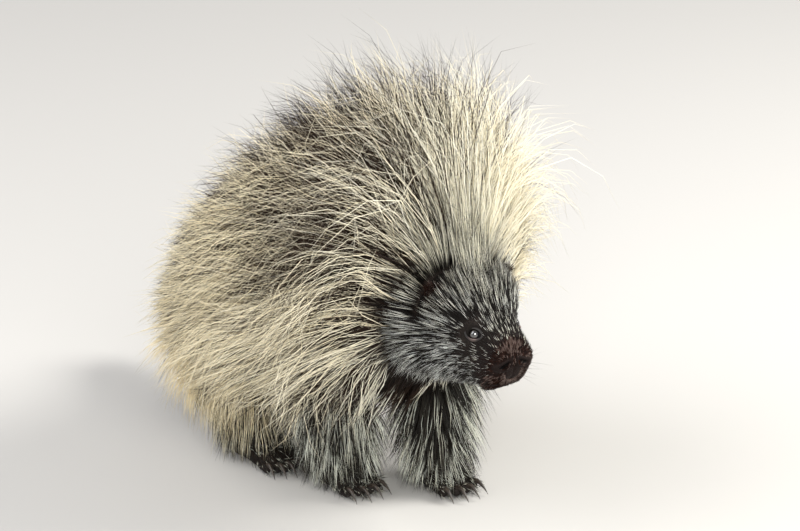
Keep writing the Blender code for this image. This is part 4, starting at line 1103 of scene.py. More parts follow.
def hair_object(name, path, outward, width, values, patch, material):
    """Many tapered three-sided hairs as one mesh, with what their material reads."""
    count, points = path.shape[:2]
    rings = points - 1
    each = rings * 3 + 1
    tangent = unit(np.gradient(path, axis=1))
    across = unit(np.cross(tangent, outward[:, None]))
    up = np.cross(across, tangent)
    size = np.array(HAIR_SHAPE[rings])[None, :] * width[:, None]
    turn = (math.pi / 2 + np.arange(3) * FULL_TURN / 3)[:, None]
    ring = np.cos(turn) * across[:, :-1, None] + np.sin(turn) * HAIR_FLAT * up[:, :-1, None]
    body = path[:, :-1, None] + ring * size[..., None, None]
    verts = np.concatenate([body.reshape(count, rings * 3, 3), path[:, -1:]], 1)
    corners = [(j, (j + 1) % 3) for j in range(3)]
    faces = [(0, 1, 2)]
    faces += [(k + a, k + a + 3, k + b + 3, k + b) for k in range(0, rings * 3 - 3, 3) for a, b in corners]
    faces += [(rings * 3 - 3 + a, rings * 3, rings * 3 - 3 + b) for a, b in corners]
    loops = np.concatenate(faces)
    starts = np.cumsum([0, *map(len, faces[:-1])])
    shift = np.arange(count)[:, None]
    all_loops = (loops + shift * each).ravel()
    all_starts = (starts + shift * len(loops)).ravel()
    mesh = bpy.data.meshes.new(name)
    mesh.vertices.add(count * each)
    mesh.vertices.foreach_set("co", verts.astype(np.float32).ravel())
    mesh.loops.add(len(all_loops))
    mesh.loops.foreach_set("vertex_index", all_loops.astype(np.int32))
    mesh.polygons.add(len(all_starts))
    mesh.polygons.foreach_set("loop_start", all_starts.astype(np.int32))
    mesh.update(calc_edges=True)
    values = {key: np.broadcast_to(value[:, None], (count, each)) for key, value in values.items()}
    along = np.broadcast_to(np.append(np.repeat(np.arange(rings) / rings, 3), 1.0), (count, each))
    mark_points(mesh, {"along": along, **values})
    bake = patch[:, None] * (1 - BAKE_PATCH) + BAKE_PATCH * np.stack([values["tone"], along], -1)
    bake = bake.reshape(-1, 2)[all_loops]
    mesh.uv_layers.new(name="OFBake").data.foreach_set("uv", bake.astype(np.float32).ravel())
    mesh.materials.append(material)
    return linked(name, mesh)


def grow(name, part, look, count, span, material, slot, seed, steps=4, width=0.00042, weight=None,
         tuft=4, hold=0.82, spread=None, keep=None):
    """A piece of the coat: hairs in tufts that gather towards their tips."""
    rng = np.random.default_rng(SEED + seed)
    spread = {**HAIR_SPREAD, **(spread or {})}
    wider = {**spread, **{key: TUFT_SPREAD * spread[key] for key in ("lift", "slant", "wave", "bow")}}
    along, turn = scattered(part, count, rng, *span, weight)
    tuft_along, tuft_turn = scattered(part, max(8, count // tuft), rng, *span, weight)
    style = styled(look, along, turn, rng, spread, SEED)
    tuft_style = styled(look, tuft_along, tuft_turn, rng, wider, SEED)
    base, outward, lie = roots_on(part, along, turn, style["slant"])
    tuft_base, tuft_outward, tuft_lie = roots_on(part, tuft_along, tuft_turn, tuft_style["slant"])
    own = hair_paths(base, outward, lie, style, steps)
    shared = hair_paths(tuft_base, tuft_outward, tuft_lie, tuft_style, steps)
    tree = KDTree(len(tuft_base))
    for i, point in enumerate(tuft_base):
        tree.insert(point, i)
    tree.balance()
    near = np.array([tree.find(point)[1] for point in base])
    scale = (style["length"] / tuft_style["length"][near])[:, None, None]
    pull = (tuft_base[near] - base)[:, None] + shared[near] * np.clip(scale, *TUFT_SCALE)
    t = np.linspace(0, 1, steps + 1)[None, :, None]
    gather = hold * t**GATHER_EASE * rng.uniform(*GATHER_SPREAD, count)[:, None, None]
    gather = np.clip(gather, 0, GATHER_MOST)
    path = inside_limits(base[:, None] + own * (1 - gather) + pull * gather)
    fine = clear_of_eyes(path) if part is HEAD else np.ones(count, bool)
    if keep is not None:
        fine &= keep(base)
    chance = np.where(rng.uniform(0, 1, count) < LONE_HAIRS, rng.uniform(0, 1, count),
                      rng.uniform(0, 1, len(tuft_base))[near])
    tone = rng.uniform(0, 1, len(tuft_base))[near]
    pale = chance < style["pale_share"]
    values = {
        "pale_from": np.where(pale, style["pale_from"] + rng.normal(0, BAND_SPREAD, count),
                              rng.uniform(*NO_BAND, count)),
        "warmth": np.clip(style["warmth"] + rng.normal(0, WARMTH_SPREAD, count), 0, 1),
        "tone": np.clip(tone + rng.normal(0, TONE_SPREAD, count), 0, 1),
    }
    values = {key: value[fine] for key, value in values.items()}
    patch = bake_places(part, tuft_along, tuft_turn)[near]
    widths = width * rng.uniform(*WIDTH_SPREAD, count) * np.where(pale, *PALE_WIDTHS)
    thing = hair_object(name, path[fine], outward[fine], widths[fine], values, patch[fine], material)
    return finished(thing, slot)


def left_share(turn):
    """How far angles round the body lie on its left, with a soft change at the spine."""
    return np.clip(0.5 + 2.0 * np.cos(turn), 0, 1)


def table_look(along, turn, tables):
    """Sizes and markings of the coat at places, read from tables by station and angle."""
    return {key: table_value(table, stations, along, turn)
            for stations, group in tables for key, table in group.items()}


def body_look(along, turn):
    """Sizes, lie and markings of the body's coat, paler and shorter on the nape's left, its paleness there
    partly painted light.
    """
    down = down_angle(turn)
    style = table_look(along, turn, ((SHAPE_STATIONS, BODY_SHAPE), (MARK_STATIONS, BODY_MARKS)))
    # Partly painted light: the left of the nape is paler, and pale from nearer the root, as if lit from that
    # side
    crest = ramp(along, *CREST_START) * left_share(turn) * (down < CREST_LOW)
    style["pale_share"] = style["pale_share"] + CREST_PALE_AND_LIT * crest
    style["pale_from"] = style["pale_from"] * (1 - CREST_ROOTS * crest)
    outer = ramp(along, *NAPE_START) * (np.cos(turn) > 0) * ramp(down, *NAPE_SIDE)
    style["length"] = style["length"] * (1 - NAPE_CUT * outer)
    style["stem"] = np.maximum(style["stem"] - STEM_CUT, 0)
    style["length"] = style["length"] - style["stem"]
    return style


def strand_look(along, turn):
    """Long pale strands that arch over the darker hair."""
    style = body_look(along, turn)
    down = down_angle(turn)
    for key, factor in STRAND_FACTORS.items():
        style[key] = style[key] * factor
    style["root_lift"] = style["root_lift"] + STRAND_LIFT
    right_nape = ramp(along, *STRAND_NAPE) * (down < STRAND_NAPE_LOW) * (1 - left_share(turn))
    back = ramp(-along, *STRAND_BACK) * (down < STRAND_BACK_LOW)
    style["pale_share"] = 1 - STRAND_DARK * np.maximum(right_nape, back)
    return style


def head_look(along, turn):
    """Sizes, lie and markings of the head's fur, short round the eyes and before the ear's cleft."""
    style = table_look(along, turn, ((HEAD_STATIONS, HEAD_COAT),))
    style["stem"] = np.zeros_like(style["length"])
    ahead, across = ahead_of_cleft(along, turn)
    in_front, behind = across & (ahead > 0), across & (ahead < 0)
    reach = np.where(in_front, ahead * CLEFT_REACH + CLEFT_SHORTEST, 1.0)
    style["length"] = np.minimum(style["length"], reach)
    style["pale_share"] = style["pale_share"] * np.where(in_front, np.clip(ahead / CLEFT_DARK, 0.15, 1), 1)
    style["pale_from"] = np.where(behind, BEHIND_CLEFT_FROM, style["pale_from"])
    style["pale_share"] = style["pale_share"] + BEHIND_CLEFT_PALE * behind
    from_eye = eye_reach(HEAD.local(along, turn)) / EYE_FUR_REACH
    style["length"] = style["length"] * np.clip(from_eye, EYE_FUR_SHORTEST, 1)
    return style


def muzzle_look(along, turn):
    """Velvet of the muzzle, lighter on the lips' sides and the tip of the nose."""
    style = head_look(along, turn)
    local = HEAD.local(along, turn)
    style["pale_share"] = np.full_like(style["length"], VELVET_PALE)
    for (place, out, up), radius, much in MUZZLE_LIGHT:
        for side, _ in SIDES:
            away = np.linalg.norm(local - (place, side * out, up), axis=-1)
            style["pale_share"] += much * hump(away, radius)
    style["pale_from"] = np.full_like(style["length"], VELVET_BAND)
    style["warmth"] = np.clip(0.5 - 30 * (local[..., 0] - 0.110), 0, 1)
    return style


def limb_look(kind):
    """Sizes, lie and markings of the coat of a leg or the tail."""
    def look(along, turn):
        style = {key: np.interp(along, *size) if isinstance(size, tuple) else np.full_like(along, size)
                 for key, size in LIMB_COATS[kind].items()}
        style["pale_share"] = style["pale_share"] * np.interp(down_angle(turn), *LIMB_PALE[kind])
        return style
    return look


def add(tree, kind, inputs=None, **properties):
    """A node with its properties set, its inputs given values or linked to other sockets."""
    node = tree.nodes.new(kind)
    for key, value in properties.items():
        setattr(node, key, value)
    for key, value in (inputs or {}).items():
        if isinstance(value, bpy.types.NodeSocket):
            tree.links.new(value, node.inputs[key])
        else:
            node.inputs[key].default_value = value
    return node


def blended(tree, factor, first, second):
    """One colour faded into another."""
    return add(tree, "ShaderNodeMix", {0: factor, 6: first, 7: second}, data_type="RGBA").outputs[2]


def ranged(tree, value, low, high, to_low=0.0, to_high=1.0, smooth="SMOOTHSTEP"):
    """A value brought from one range to another."""
    inputs = {"Value": value, "From Min": low, "From Max": high, "To Min": to_low, "To Max": to_high}
    return add(tree, "ShaderNodeMapRange", inputs, interpolation_type=smooth).outputs["Result"]


def maths(tree, operation, first, second=0.0):
    """A sum or another operation on two values."""
    return add(tree, "ShaderNodeMath", {0: first, 1: second}, operation=operation).outputs[0]


def noise(tree, scale, stretch=1.0, detail=2.0):
    """Mottling that stays on the piece, drawn out along it."""
    place = add(tree, "ShaderNodeTexCoord").outputs["Object"]
    place = add(tree, "ShaderNodeMapping", {"Vector": place, "Scale": (stretch, 1.0, 1.0)}).outputs[0]
    return add(tree, "ShaderNodeTexNoise", {"Vector": place, "Scale": scale, "Detail": detail}).outputs["Fac"]


def attribute(tree, name):
    """A value that a piece stores for its finish."""
    return add(tree, "ShaderNodeAttribute", attribute_name=name).outputs["Fac"]


def new_group(name, inputs, outputs):
    """An empty shader group with named inputs and outputs."""
    group = bpy.data.node_groups.new(name, "ShaderNodeTree")
    for label, value in inputs.items():
        kind = "NodeSocketColor" if isinstance(value, tuple) else "NodeSocketFloat"
        group.interface.new_socket(label, in_out="INPUT", socket_type=kind).default_value = value
    for label, kind in outputs.items():
        group.interface.new_socket(label, in_out="OUTPUT", socket_type=kind)
    return group, group.nodes.new("NodeGroupInput").outputs, group.nodes.new("NodeGroupOutput").inputs


def banded_hair():
    """Hairs that are dark from the root and pale towards the tip, each a little different, with painted shade
    darkening them towards the root.
    """
    group, given, out = new_group(
        "banded hair",
        {"Root": (0.01, 0.01, 0.01, 1), "Shaft": (0.04, 0.03, 0.02, 1), "Cool tip": (0.6, 0.6, 0.55, 1),
         "Warm tip": (0.7, 0.5, 0.3, 1), "Softness": 0.12},
        {"Colour": "NodeSocketColor", "Roughness": "NodeSocketFloat"})
    names = ("along", "pale_from", "warmth", "tone")
    along, pale_from, warmth, tone = (attribute(group, name) for name in names)
    band = ranged(group, along, maths(group, "SUBTRACT", pale_from, given["Softness"]),
                  maths(group, "ADD", pale_from, given["Softness"]))
    dark = blended(group, tone, given["Root"], given["Shaft"])
    # Painted shade: the dark part fades to the root colour towards the root, standing in for the shade deep
    # in the coat
    dark = blended(group, ranged(group, along, 0.0, 0.45), given["Root"], dark)
    pale = blended(group, warmth, given["Cool tip"], given["Warm tip"])
    dim = ranged(group, tone, 0.0, 1.0, 0.74, 1.0, "LINEAR")
    pale = add(group, "ShaderNodeVectorMath", {0: pale, 3: dim}, operation="SCALE").outputs[0]
    group.links.new(blended(group, band, dark, pale), out["Colour"])
    group.links.new(ranged(group, tone, 0.0, 1.0, 0.42, 0.62, "LINEAR"), out["Roughness"])
    return group


def nap():
    """Short flat fur and pores: streaks of colour and fine height."""
    group, given, out = new_group(
        "nap", {"Deep": (0.008, 0.006, 0.005, 1), "Raised": (0.05, 0.035, 0.028, 1), "Scale": 900.0},
        {"Colour": "NodeSocketColor", "Roughness": "NodeSocketFloat", "Height": "NodeSocketFloat"})
    fine, broad = noise(group, given["Scale"], 0.35, 3.0), noise(group, 60.0)
    share = maths(group, "MULTIPLY", ranged(group, fine, 0.3, 0.7), ranged(group, broad, 0.3, 0.75, 0.4, 1.0))
    group.links.new(blended(group, share, given["Deep"], given["Raised"]), out["Colour"])
    group.links.new(ranged(group, fine, 0.3, 0.7, 0.7, 0.5), out["Roughness"])
    group.links.new(fine, out["Height"])
    return group


BANDED_HAIR, NAP = banded_hair(), nap()


def new_material(name, constants=None):
    """A material with its node tree and its shader's inputs, some of them set."""
    material = bpy.data.materials.new(name)
    material.use_nodes = True
    shader = material.node_tree.nodes["Principled BSDF"].inputs
    for label, value in (constants or {}).items():
        shader[label].default_value = value
    return material, material.node_tree, shader


def feed(tree, shader, colour, roughness=None, relief=None, strength=0.0, depth=0.0):
    """Link colour, roughness and fine relief to a material's shader."""
    tree.links.new(colour, shader["Base Color"])
    if roughness is not None:
        tree.links.new(roughness, shader["Roughness"])
    if relief is not None:
        bump = add(tree, "ShaderNodeBump", {"Height": relief, "Strength": strength, "Distance": depth})
        tree.links.new(bump.outputs[0], shader["Normal"])


def nap_colours(tree, deep, raised, scale=900.0):
    """What the nap's group gives for two colours and a fineness."""
    inputs = {"Deep": (*deep, 1), "Raised": (*raised, 1), "Scale": scale}
    return add(tree, "ShaderNodeGroup", inputs, node_tree=NAP).outputs


def hair_material(name, root, shaft, cool, warm, softness, gloss):
    """Hair of one part of the coat."""
    material, tree, shader = new_material(name, {"Specular IOR Level": gloss})
    inputs = {"Root": (*root, 1), "Shaft": (*shaft, 1), "Cool tip": (*cool, 1), "Warm tip": (*warm, 1),
              "Softness": softness}
    group = add(tree, "ShaderNodeGroup", inputs, node_tree=BANDED_HAIR).outputs
    feed(tree, shader, group["Colour"], group["Roughness"])
    return material


def skin_material():
    """Dark skin under the coat, velvety on the muzzle and leathery on the soles, with painted shade in the
    nostrils, the mouth's line and the ear's cleft.
    """
    material, tree, shader = new_material("dark skin", {"Specular IOR Level": 0.10})
    plain = nap_colours(tree, (0.008, 0.006, 0.005), (0.030, 0.022, 0.017))
    velvet = nap_colours(tree, (0.004, 0.002, 0.0018), (0.015, 0.007, 0.005), 1500.0)
    place = add(tree, "ShaderNodeTexCoord").outputs["Object"]
    cells = add(tree, "ShaderNodeTexVoronoi", {"Vector": place, "Scale": 900.0}).outputs["Distance"]
    bare = attribute(tree, "bare")
    colour = blended(tree, attribute(tree, "velvet"), plain["Colour"], velvet["Colour"])
    colour = blended(tree, bare, colour, (0.020, 0.016, 0.015, 1))
    # Painted shade: the nostrils, the mouth's line and the ear's cleft are darkened, as is the skin round the
    # eyes
    colour = blended(tree, attribute(tree, "dark"), colour, (0.0025, 0.0018, 0.0016, 1))
    relief = add(tree, "ShaderNodeMix", {0: bare, 2: velvet["Height"], 3: cells}).outputs[0]
    feed(tree, shader, colour, plain["Roughness"], relief, 0.6, 0.0008)
    return material


def lid_material():
    """Grey-brown lids with a pinkish moist edge."""
    material, tree, shader = new_material("eyelid", {"Specular IOR Level": 0.5})
    skin = nap_colours(tree, (0.006, 0.005, 0.0045), (0.024, 0.018, 0.016), 2200.0)
    moist = attribute(tree, "moist")
    feed(tree, shader, blended(tree, moist, skin["Colour"], (0.42, 0.30, 0.27, 1)),
         ranged(tree, moist, 0.0, 1.0, 0.6, 0.22), skin["Height"], 0.5, 0.0004)
    return material


def eye_material():
    """Near-black brown eye under a clear wet cornea, with a faint paler rim."""
    material, tree, shader = new_material("dark eye", {
        "Roughness": 0.3, "Specular IOR Level": 0.1, "Coat Weight": 1.0, "Coat Roughness": 0.03,
        "Coat IOR": 2.2})
    off = attribute(tree, "off_axis")
    colour = (0.002, 0.002, 0.002, 1)
    for low, high, further in ((20.0, 24.0, (0.006, 0.004, 0.003, 1)), (44.0, 58.0, (0.010, 0.012, 0.016, 1)),
                               (62.0, 74.0, (0.16, 0.12, 0.10, 1))):
        colour = blended(tree, ranged(tree, off, low, high), colour, further)
    streaks = ranged(tree, noise(tree, 1800.0), 0.35, 0.8, 0.0, 0.35)
    feed(tree, shader, blended(tree, streaks, colour, (0.004, 0.003, 0.003, 1)))
    return material


def claw_material():
    """Dark horn with fine paler streaks along it."""
    material, tree, shader = new_material("claw horn", {"Specular IOR Level": 0.5})
    streaks = noise(tree, 1600.0, 0.12, 3.0)
    pale = ranged(tree, streaks, 0.3, 0.7)
    colour = blended(tree, pale, (0.010, 0.008, 0.007, 1), (0.060, 0.045, 0.033, 1))
    feed(tree, shader, colour, ranged(tree, streaks, 0.3, 0.7, 0.26, 0.42), streaks, 0.4, 0.0003)
    return material


def spine_material(name, shaft, tip, tip_from):
    """Smooth spine of one colour with a tip of another."""
    material, tree, shader = new_material(name, {"Specular IOR Level": 0.5})
    mottle = noise(tree, 400.0)
    base = blended(tree, ranged(tree, mottle, 0.3, 0.7), tuple(0.72 * c for c in shaft) + (1,), (*shaft, 1))
    at_tip = ranged(tree, attribute(tree, "along"), tip_from - TIP_BLEND, tip_from + TIP_BLEND)
    feed(tree, shader, blended(tree, at_tip, base, (*tip, 1)), ranged(tree, mottle, 0.3, 0.7, 0.28, 0.40))
    return material


def floor_material():
    """Plain pale floor."""
    return new_material("studio floor", {"Base Color": (0.50, 0.49, 0.47, 1), "Roughness": 0.8})[0]


def spine_tree():
    """Geometry Nodes that stand one tapered, slightly bent spine on each root point."""
    tree = bpy.data.node_groups.new("spines on roots", "GeometryNodeTree")
    sockets = [("Roots", "INPUT", "Geometry"), *((label, "INPUT", "Float") for label in SPINE_SIZES),
               ("Finish", "INPUT", "Material"), ("Spines", "OUTPUT", "Geometry")]
    for label, way, kind in sockets:
        tree.interface.new_socket(label, in_out=way, socket_type="NodeSocket" + kind)
    given, result = tree.nodes.new("NodeGroupInput").outputs, tree.nodes.new("NodeGroupOutput").inputs

    def step(kind, inputs, **properties):
        return add(tree, kind, inputs, **properties).outputs[0]

    def vector(x=0.0, y=0.0, z=0.0):
        return step("ShaderNodeCombineXYZ", {0: x, 1: y, 2: z})

    def named(name, kind):
        return step("GeometryNodeInputNamedAttribute", {"Name": name}, data_type=kind)

    line = step("GeometryNodeCurvePrimitiveLine", {"End": vector(z=given["Length"])})
    line = step("GeometryNodeResampleCurve", {"Curve": line, "Count": 7})
    along = step("GeometryNodeSplineParameter", {})
    bend = maths(tree, "MULTIPLY", maths(tree, "POWER", along, 2.0), given["Bend"])
    line = step("GeometryNodeSetPosition", {"Geometry": line, "Offset": vector(x=bend)})
    line = step("GeometryNodeStoreNamedAttribute", {"Geometry": line, "Name": "along", "Value": along},
                data_type="FLOAT", domain="POINT")
    taper = maths(tree, "SUBTRACT", 1.0, maths(tree, "POWER", along, given["Fullness"]))
    radius = maths(tree, "MULTIPLY", maths(tree, "MAXIMUM", taper, 0.04), given["Radius"])
    ring = step("GeometryNodeCurvePrimitiveCircle", {"Resolution": 5, "Radius": 1.0})
    spine = step("GeometryNodeCurveToMesh",
                 {"Curve": line, "Profile Curve": ring, "Scale": radius, "Fill Caps": True})
    turn = step("FunctionNodeAlignRotationToVector", {"Vector": named("heading", "FLOAT_VECTOR")}, axis="Z")
    spines = step("GeometryNodeInstanceOnPoints", {
        "Points": given["Roots"], "Instance": spine, "Rotation": turn, "Scale": named("size", "FLOAT")})
    spines = step("GeometryNodeRealizeInstances", {"Geometry": spines})
    patch = step("ShaderNodeVectorMath", {0: vector(y=named("along", "FLOAT")), 3: BAKE_PATCH},
                 operation="SCALE")
    patch = step("ShaderNodeVectorMath", {0: named("root_patch", "FLOAT_VECTOR"), 1: patch}, operation="ADD")
    spines = step("GeometryNodeStoreNamedAttribute", {"Geometry": spines, "Name": "OFBake", "Value": patch},
                  data_type="FLOAT2", domain="CORNER")
    spines = step("GeometryNodeSetMaterial", {"Geometry": spines, "Material": given["Finish"]})
    tree.links.new(spines, result["Spines"])
    return tree


def stand_spines(name, tree, part, along, turn, slant, lift, size, material, slot, sizes):
    """A piece of spines, one on each place of a part, as a plain mesh."""
    base, outward, lie = roots_on(part, along, turn, slant)
    lift = np.radians(lift)[:, None]
    heading = lie * np.cos(lift) + outward * np.sin(lift)
    patch = bake_places(part, along, turn) * (1 - BAKE_PATCH)
    patch = np.column_stack([patch, np.zeros(len(patch))])
    mesh = bpy.data.meshes.new(name)
    mesh.from_pydata(base.tolist(), [], [])
    mark_points(mesh, {"heading": heading, "root_patch": patch}, "FLOAT_VECTOR", "vector")
    mark_points(mesh, {"size": size})
    thing = linked(name, mesh)
    step = thing.modifiers.new("spines", "NODES")
    step.node_group = tree
    identifiers = {item.name: item.identifier for item in tree.interface.items_tree if item.in_out == "INPUT"}
    for label, value in {**dict(zip(SPINE_SIZES, sizes)), "Finish": material}.items():
        step[identifiers[label]] = value
    apply_modifiers(thing)
    return finished(thing, slot)


def quills_on(name, tree, part, count, span, weight, material, seed, size=1.0, lift=38):
    """White, dark-tipped quills among the hair of a part."""
    rng = np.random.default_rng(SEED + seed)
    along, turn = scattered(part, count, rng, *span, weight)
    slant, lift = rng.normal(0, 16, count), lift + rng.normal(0, 9, count)
    return stand_spines(name, tree, part, along, turn, slant, lift, size * rng.uniform(0.6, 0.95, count),
                        material, "quill_horn", QUILL_SIZES)


def whiskers(tree, material):
    """Fine dark whiskers on both sides of the muzzle."""
    rng = np.random.default_rng(SEED + 70)
    places = [(WHISKER_START + WHISKER_STEP * i + rng.uniform(-0.001, 0.001),
               math.radians(90 - side * (WHISKER_TURN + WHISKER_ROW * row + rng.uniform(-3, 3))))
              for side, _ in SIDES for row in range(3) for i in range(5)]
    along, turn = np.array(places).T
    n = len(along)
    return stand_spines("whiskers", tree, HEAD, along, turn, np.full(n, 12.0), rng.uniform(42, 62, n),
                        rng.uniform(0.55, 1.0, n), material, "face_fur", WHISKER_SIZES)


def fur_on_points(name, beds, count, length, lifts, material, slot, seed, width=0.0003, pale_share=0.1,
                  steps=2):
    """Short fur straight on surfaces, each given as points, normals, flow and bake places."""
    rng = np.random.default_rng(SEED + seed)
    picks = [rng.integers(0, len(bed[0]), count // len(beds)) for bed in beds]
    base, outward, flow, patch = (np.concatenate([bed[i][pick] for bed, pick in zip(beds, picks)])
                                  for i in range(4))
    n = len(base)
    base = base + rng.normal(0, 0.0004, (n, 3))
    lie = lying(unit(flow + rng.normal(0, 0.16, (n, 3))), outward)
    style = {"root_lift": lifts[0] + rng.normal(0, 6, n), "tip_lift": lifts[1] + rng.normal(0, 6, n),
             "length": length * rng.uniform(0.7, 1.15, n), "wave": rng.normal(0, 0.12, n),
             "phase": rng.uniform(-1, 1, n), **dict.fromkeys(("bow", "stem", "droop"), np.zeros(n))}
    path = inside_limits(base[:, None] + hair_paths(base, outward, lie, style, steps))
    pale = rng.uniform(0, 1, n) < pale_share
    values = {"pale_from": np.where(pale, rng.uniform(0.5, 0.7, n), 1.3), "warmth": rng.uniform(0, 0.3, n),
              "tone": rng.uniform(0, 1, n)}
    widths = width * rng.uniform(0.7, 1.2, n)
    return finished(hair_object(name, path, outward, widths, values, patch, material), slot)


def bed_of(surface, place, flow, keep):
    """Points of a surface that carry short fur, with their normals, flow and places on an unwrap."""
    thing = new_object("bed", surface)
    points = points_of(thing.data)
    normals = np.array([tuple(v.normal) for v in thing.data.vertices])
    bpy.data.objects.remove(thing, do_unlink=True)
    local = within(place, points)
    low, high = local.min(0), local.max(0)
    share = (local[:, 0] - low[0]) / (high[0] - low[0])
    round_it = np.arctan2(local[:, 2] - (low[2] + high[2]) / 2, local[:, 1]) / FULL_TURN + 0.5
    bed = points, normals, np.broadcast_to(flow, points.shape), np.stack([share, round_it], -1)
    chosen = keep(points, local, normals)
    return [values[chosen] for values in bed]


def band(low=0, high=180, side=0):
    """Weight of the places between two angles down from the spine, on one side or on both."""
    def weight(along, turn):
        down = down_angle(turn)
        return (down >= low) & (down < high) & (np.cos(turn) * side >= 0)
    return weight


def off_openings(points):
    """Which points keep off the nostrils and the mouth."""
    return openings(within(HEAD.place, points)) < 0.5


def make_coat(feet):
    """The whole coat, piece by piece."""
    guard, face, velvet, limb = (hair_material(name, *look) for name, look in HAIR_COLOURS.items())
    body = {"part": BODY, "look": body_look, "material": guard, "slot": "body_coat"}

    def behind(points):
        return behind_head(points) > -0.008

    def off_body(points):
        return ~BODY.holds(points)

    for side, word in SIDES:
        left = side > 0
        grow("nape_hair_" + word, **{**body, "slot": "crest_coat"}, count=5000, span=(0.028, 0.110),
             seed=1 + left, weight=band(0, 118, side), spread=NAPE_SPREAD, keep=behind, width=0.00034, tuft=8)
        grow("shoulder_hair_" + word, **body, count=4400 if left else 5400, span=(-0.075, 0.030),
             seed=3 + left, weight=band(0, 118, side), spread=NAPE_SPREAD, width=0.00037, tuft=8)
        grow("flank_hair_" + word, **body, count=4300 if left else 5600, span=(-0.182, -0.070),
             seed=5 + left, weight=band(0, 118, side), spread={"slant": 8.0, "drift": 13.0}, width=0.00039,
             tuft=7)
        grow("long_strands_" + word, **{**body, "look": strand_look}, count=2400 if left else 3400,
             span=(-0.200, 0.085), seed=20 + left, weight=band(26, 108, side), spread=STRAND_SPREAD,
             keep=behind, steps=5, width=0.00032, tuft=5, hold=0.72)
    grow("crest_strands", BODY, strand_look, 1500, (0.000, 0.108), guard, "crest_coat", 23, steps=5,
         weight=band(0, 52), spread=CURL_SPREAD, keep=behind, width=0.00030, tuft=6, hold=0.6)
    grow("rump_hair", **body, count=6200, span=(-0.242, -0.170), seed=7, steps=3)
    grow("belly_hair", **body, count=2200, span=(-0.190, 0.110), seed=8, steps=3, weight=band(112),
         keep=behind)
    grow("head_hair", HEAD, head_look, 9500, (0.014, 0.072), face, "face_fur", 9, steps=3, width=0.00017,
         spread=FACE_SPREAD, tuft=2, hold=0.35, keep=lambda points: ~in_cleft(within(HEAD.place, points)))
    grow("brow_hair", HEAD, head_look, 10000, (0.062, 0.118), face, "face_fur", 18, steps=2, width=0.00015,
         spread=FACE_SPREAD, tuft=2, hold=0.2, keep=off_openings,
         weight=lambda along, turn: along < np.interp(down_angle(turn), *VELVET_FROM) + 0.003)
    grow("muzzle_fur", HEAD, muzzle_look, 8000, (0.100, 0.1205), velvet, "face_fur", 10, steps=2,
         width=0.00024, spread=MUZZLE_SPREAD, tuft=6, hold=0.5, keep=off_openings,
         weight=lambda along, turn: along > np.interp(down_angle(turn), *VELVET_FROM))
    for i, (name, leg) in enumerate(LEGS.items()):
        grow(name.replace("leg", "leg_hair"), leg, limb_look(name.split("_")[0]), 2800,
             (ANKLE_HEIGHT - 0.003, 0.148), limb, "leg_fur", 11 + i, steps=3, width=0.00030, keep=off_body,
             tuft=3, hold=0.6, spread={"wave": 0.18, "drift": 6.0})
    grow("tail_hair", TAIL, limb_look("tail"), 2800, (-0.165, 0.0), guard, "body_coat", 15, steps=3,
         keep=off_body)
    beds = [bed_of(foot, foot_place(name), foot_place(name)[:3, 0] - (0, 0, 0.3),
                   lambda points, local, normals: (points[:, 2] > 0.006) & (normals[:, 2] > -0.3))
            for name, foot in feet.items()]
    fur_on_points("foot_fur", beds, 3600, 0.0130, (30, 12), limb, "leg_fur", 16, pale_share=0.4)
    beds = []
    for side, _ in SIDES:
        surface, place = ear_surface(side), ear_place(side)
        flow = unit(surface[0].mean(0) - place[:3, 3]) - HEAD.place[:3, 0] * 0.3
        beds.append(bed_of(surface, place, flow, lambda points, local, normals: local[:, 2] > -1))
    fur_on_points("ear_fur", beds, 2400, 0.0085, (34, 16), velvet, "ear_skin", 17)


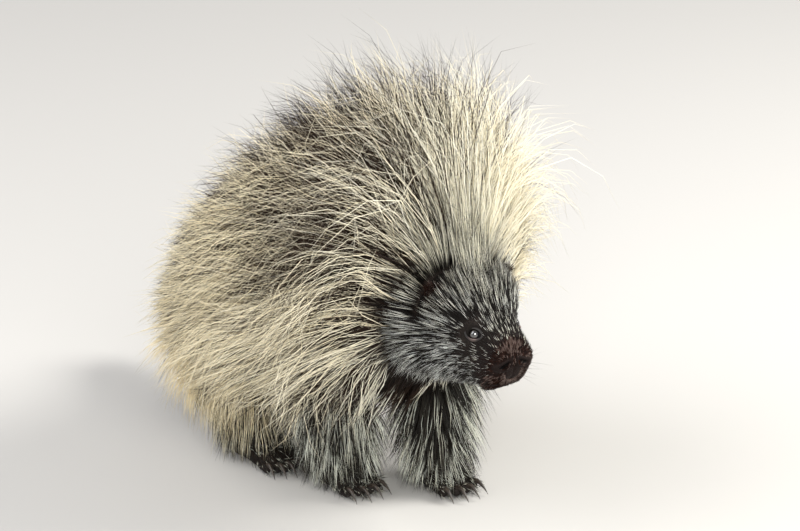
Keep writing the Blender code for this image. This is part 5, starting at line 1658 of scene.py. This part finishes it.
def make_quills():
    """Quills on the back and the tail, and the whiskers."""
    tree = spine_tree()
    horn = spine_material("quill horn", (0.74, 0.68, 0.50), (0.018, 0.012, 0.008), 0.66)
    dark = spine_material("whisker", (0.020, 0.015, 0.012), (0.030, 0.022, 0.018), 0.5)
    quills_on("back_quills", tree, BODY, 420, (-0.235, -0.050), band(0, 70), horn, 60)
    quills_on("tail_quills", tree, TAIL, 160, (-0.150, -0.020), band(0, 84), horn, 61, size=0.7, lift=32)
    whiskers(tree, dark)


def make_studio():
    """Pale floor, soft light from above, and the camera at the photograph's angle."""
    scene = bpy.context.scene
    bpy.ops.mesh.primitive_plane_add(size=40)
    floor = bpy.context.object
    floor.name = "studio_floor"
    floor.data.materials.append(floor_material())
    scene.world = bpy.data.worlds.new("studio")
    scene.world.use_nodes = True
    sky = scene.world.node_tree.nodes["Background"].inputs
    sky["Color"].default_value = (0.98, 0.98, 1.0, 1)
    sky["Strength"].default_value = 0.40
    scene.view_settings.view_transform = "Standard"

    azimuth, elevation = math.radians(CAMERA_AZIMUTH), math.radians(CAMERA_ELEVATION)
    back = Vector((math.sin(azimuth) * math.cos(elevation), -math.cos(azimuth) * math.cos(elevation),
                   math.sin(elevation)))
    right = Vector((math.cos(azimuth), math.sin(azimuth), 0))
    aim = Vector(ORIGIN) + (right * AIM_RIGHT + back.cross(right) * AIM_UP) / PIXELS_PER_METRE
    camera = linked("camera", bpy.data.cameras.new("camera"))
    camera.data.sensor_width = SENSOR_WIDTH
    camera.data.lens = PIXELS_PER_METRE * CAMERA_DISTANCE * SENSOR_WIDTH / PICTURE_WIDTH
    camera.location = aim + back * CAMERA_DISTANCE
    camera.rotation_euler = (-back).to_track_quat("-Z", "Y").to_euler()
    scene.camera = camera
    for name, place, size, power, colour in LAMPS:
        lamp = linked(name, bpy.data.lights.new(name, "AREA"))
        lamp.data.size = size
        lamp.data.energy = power
        lamp.data.color = colour
        lamp.location = place
        lamp.rotation_euler = (Vector(LAMPS_AIM) - lamp.location).to_track_quat("-Z", "Y").to_euler()


def main():
    """Build the model in its studio."""
    make_studio()
    feet = {foot: foot_surface(foot, leg) for leg, foot in FOOT_OF_LEG.items()}
    make_skin(skin_material(), feet)
    lid, eye = lid_material(), eye_material()
    for side, word in SIDES:
        make_lids(side, word, lid)
        make_eye(side, word, eye)
    make_claws(claw_material())
    make_coat(feet)
    make_quills()


main()
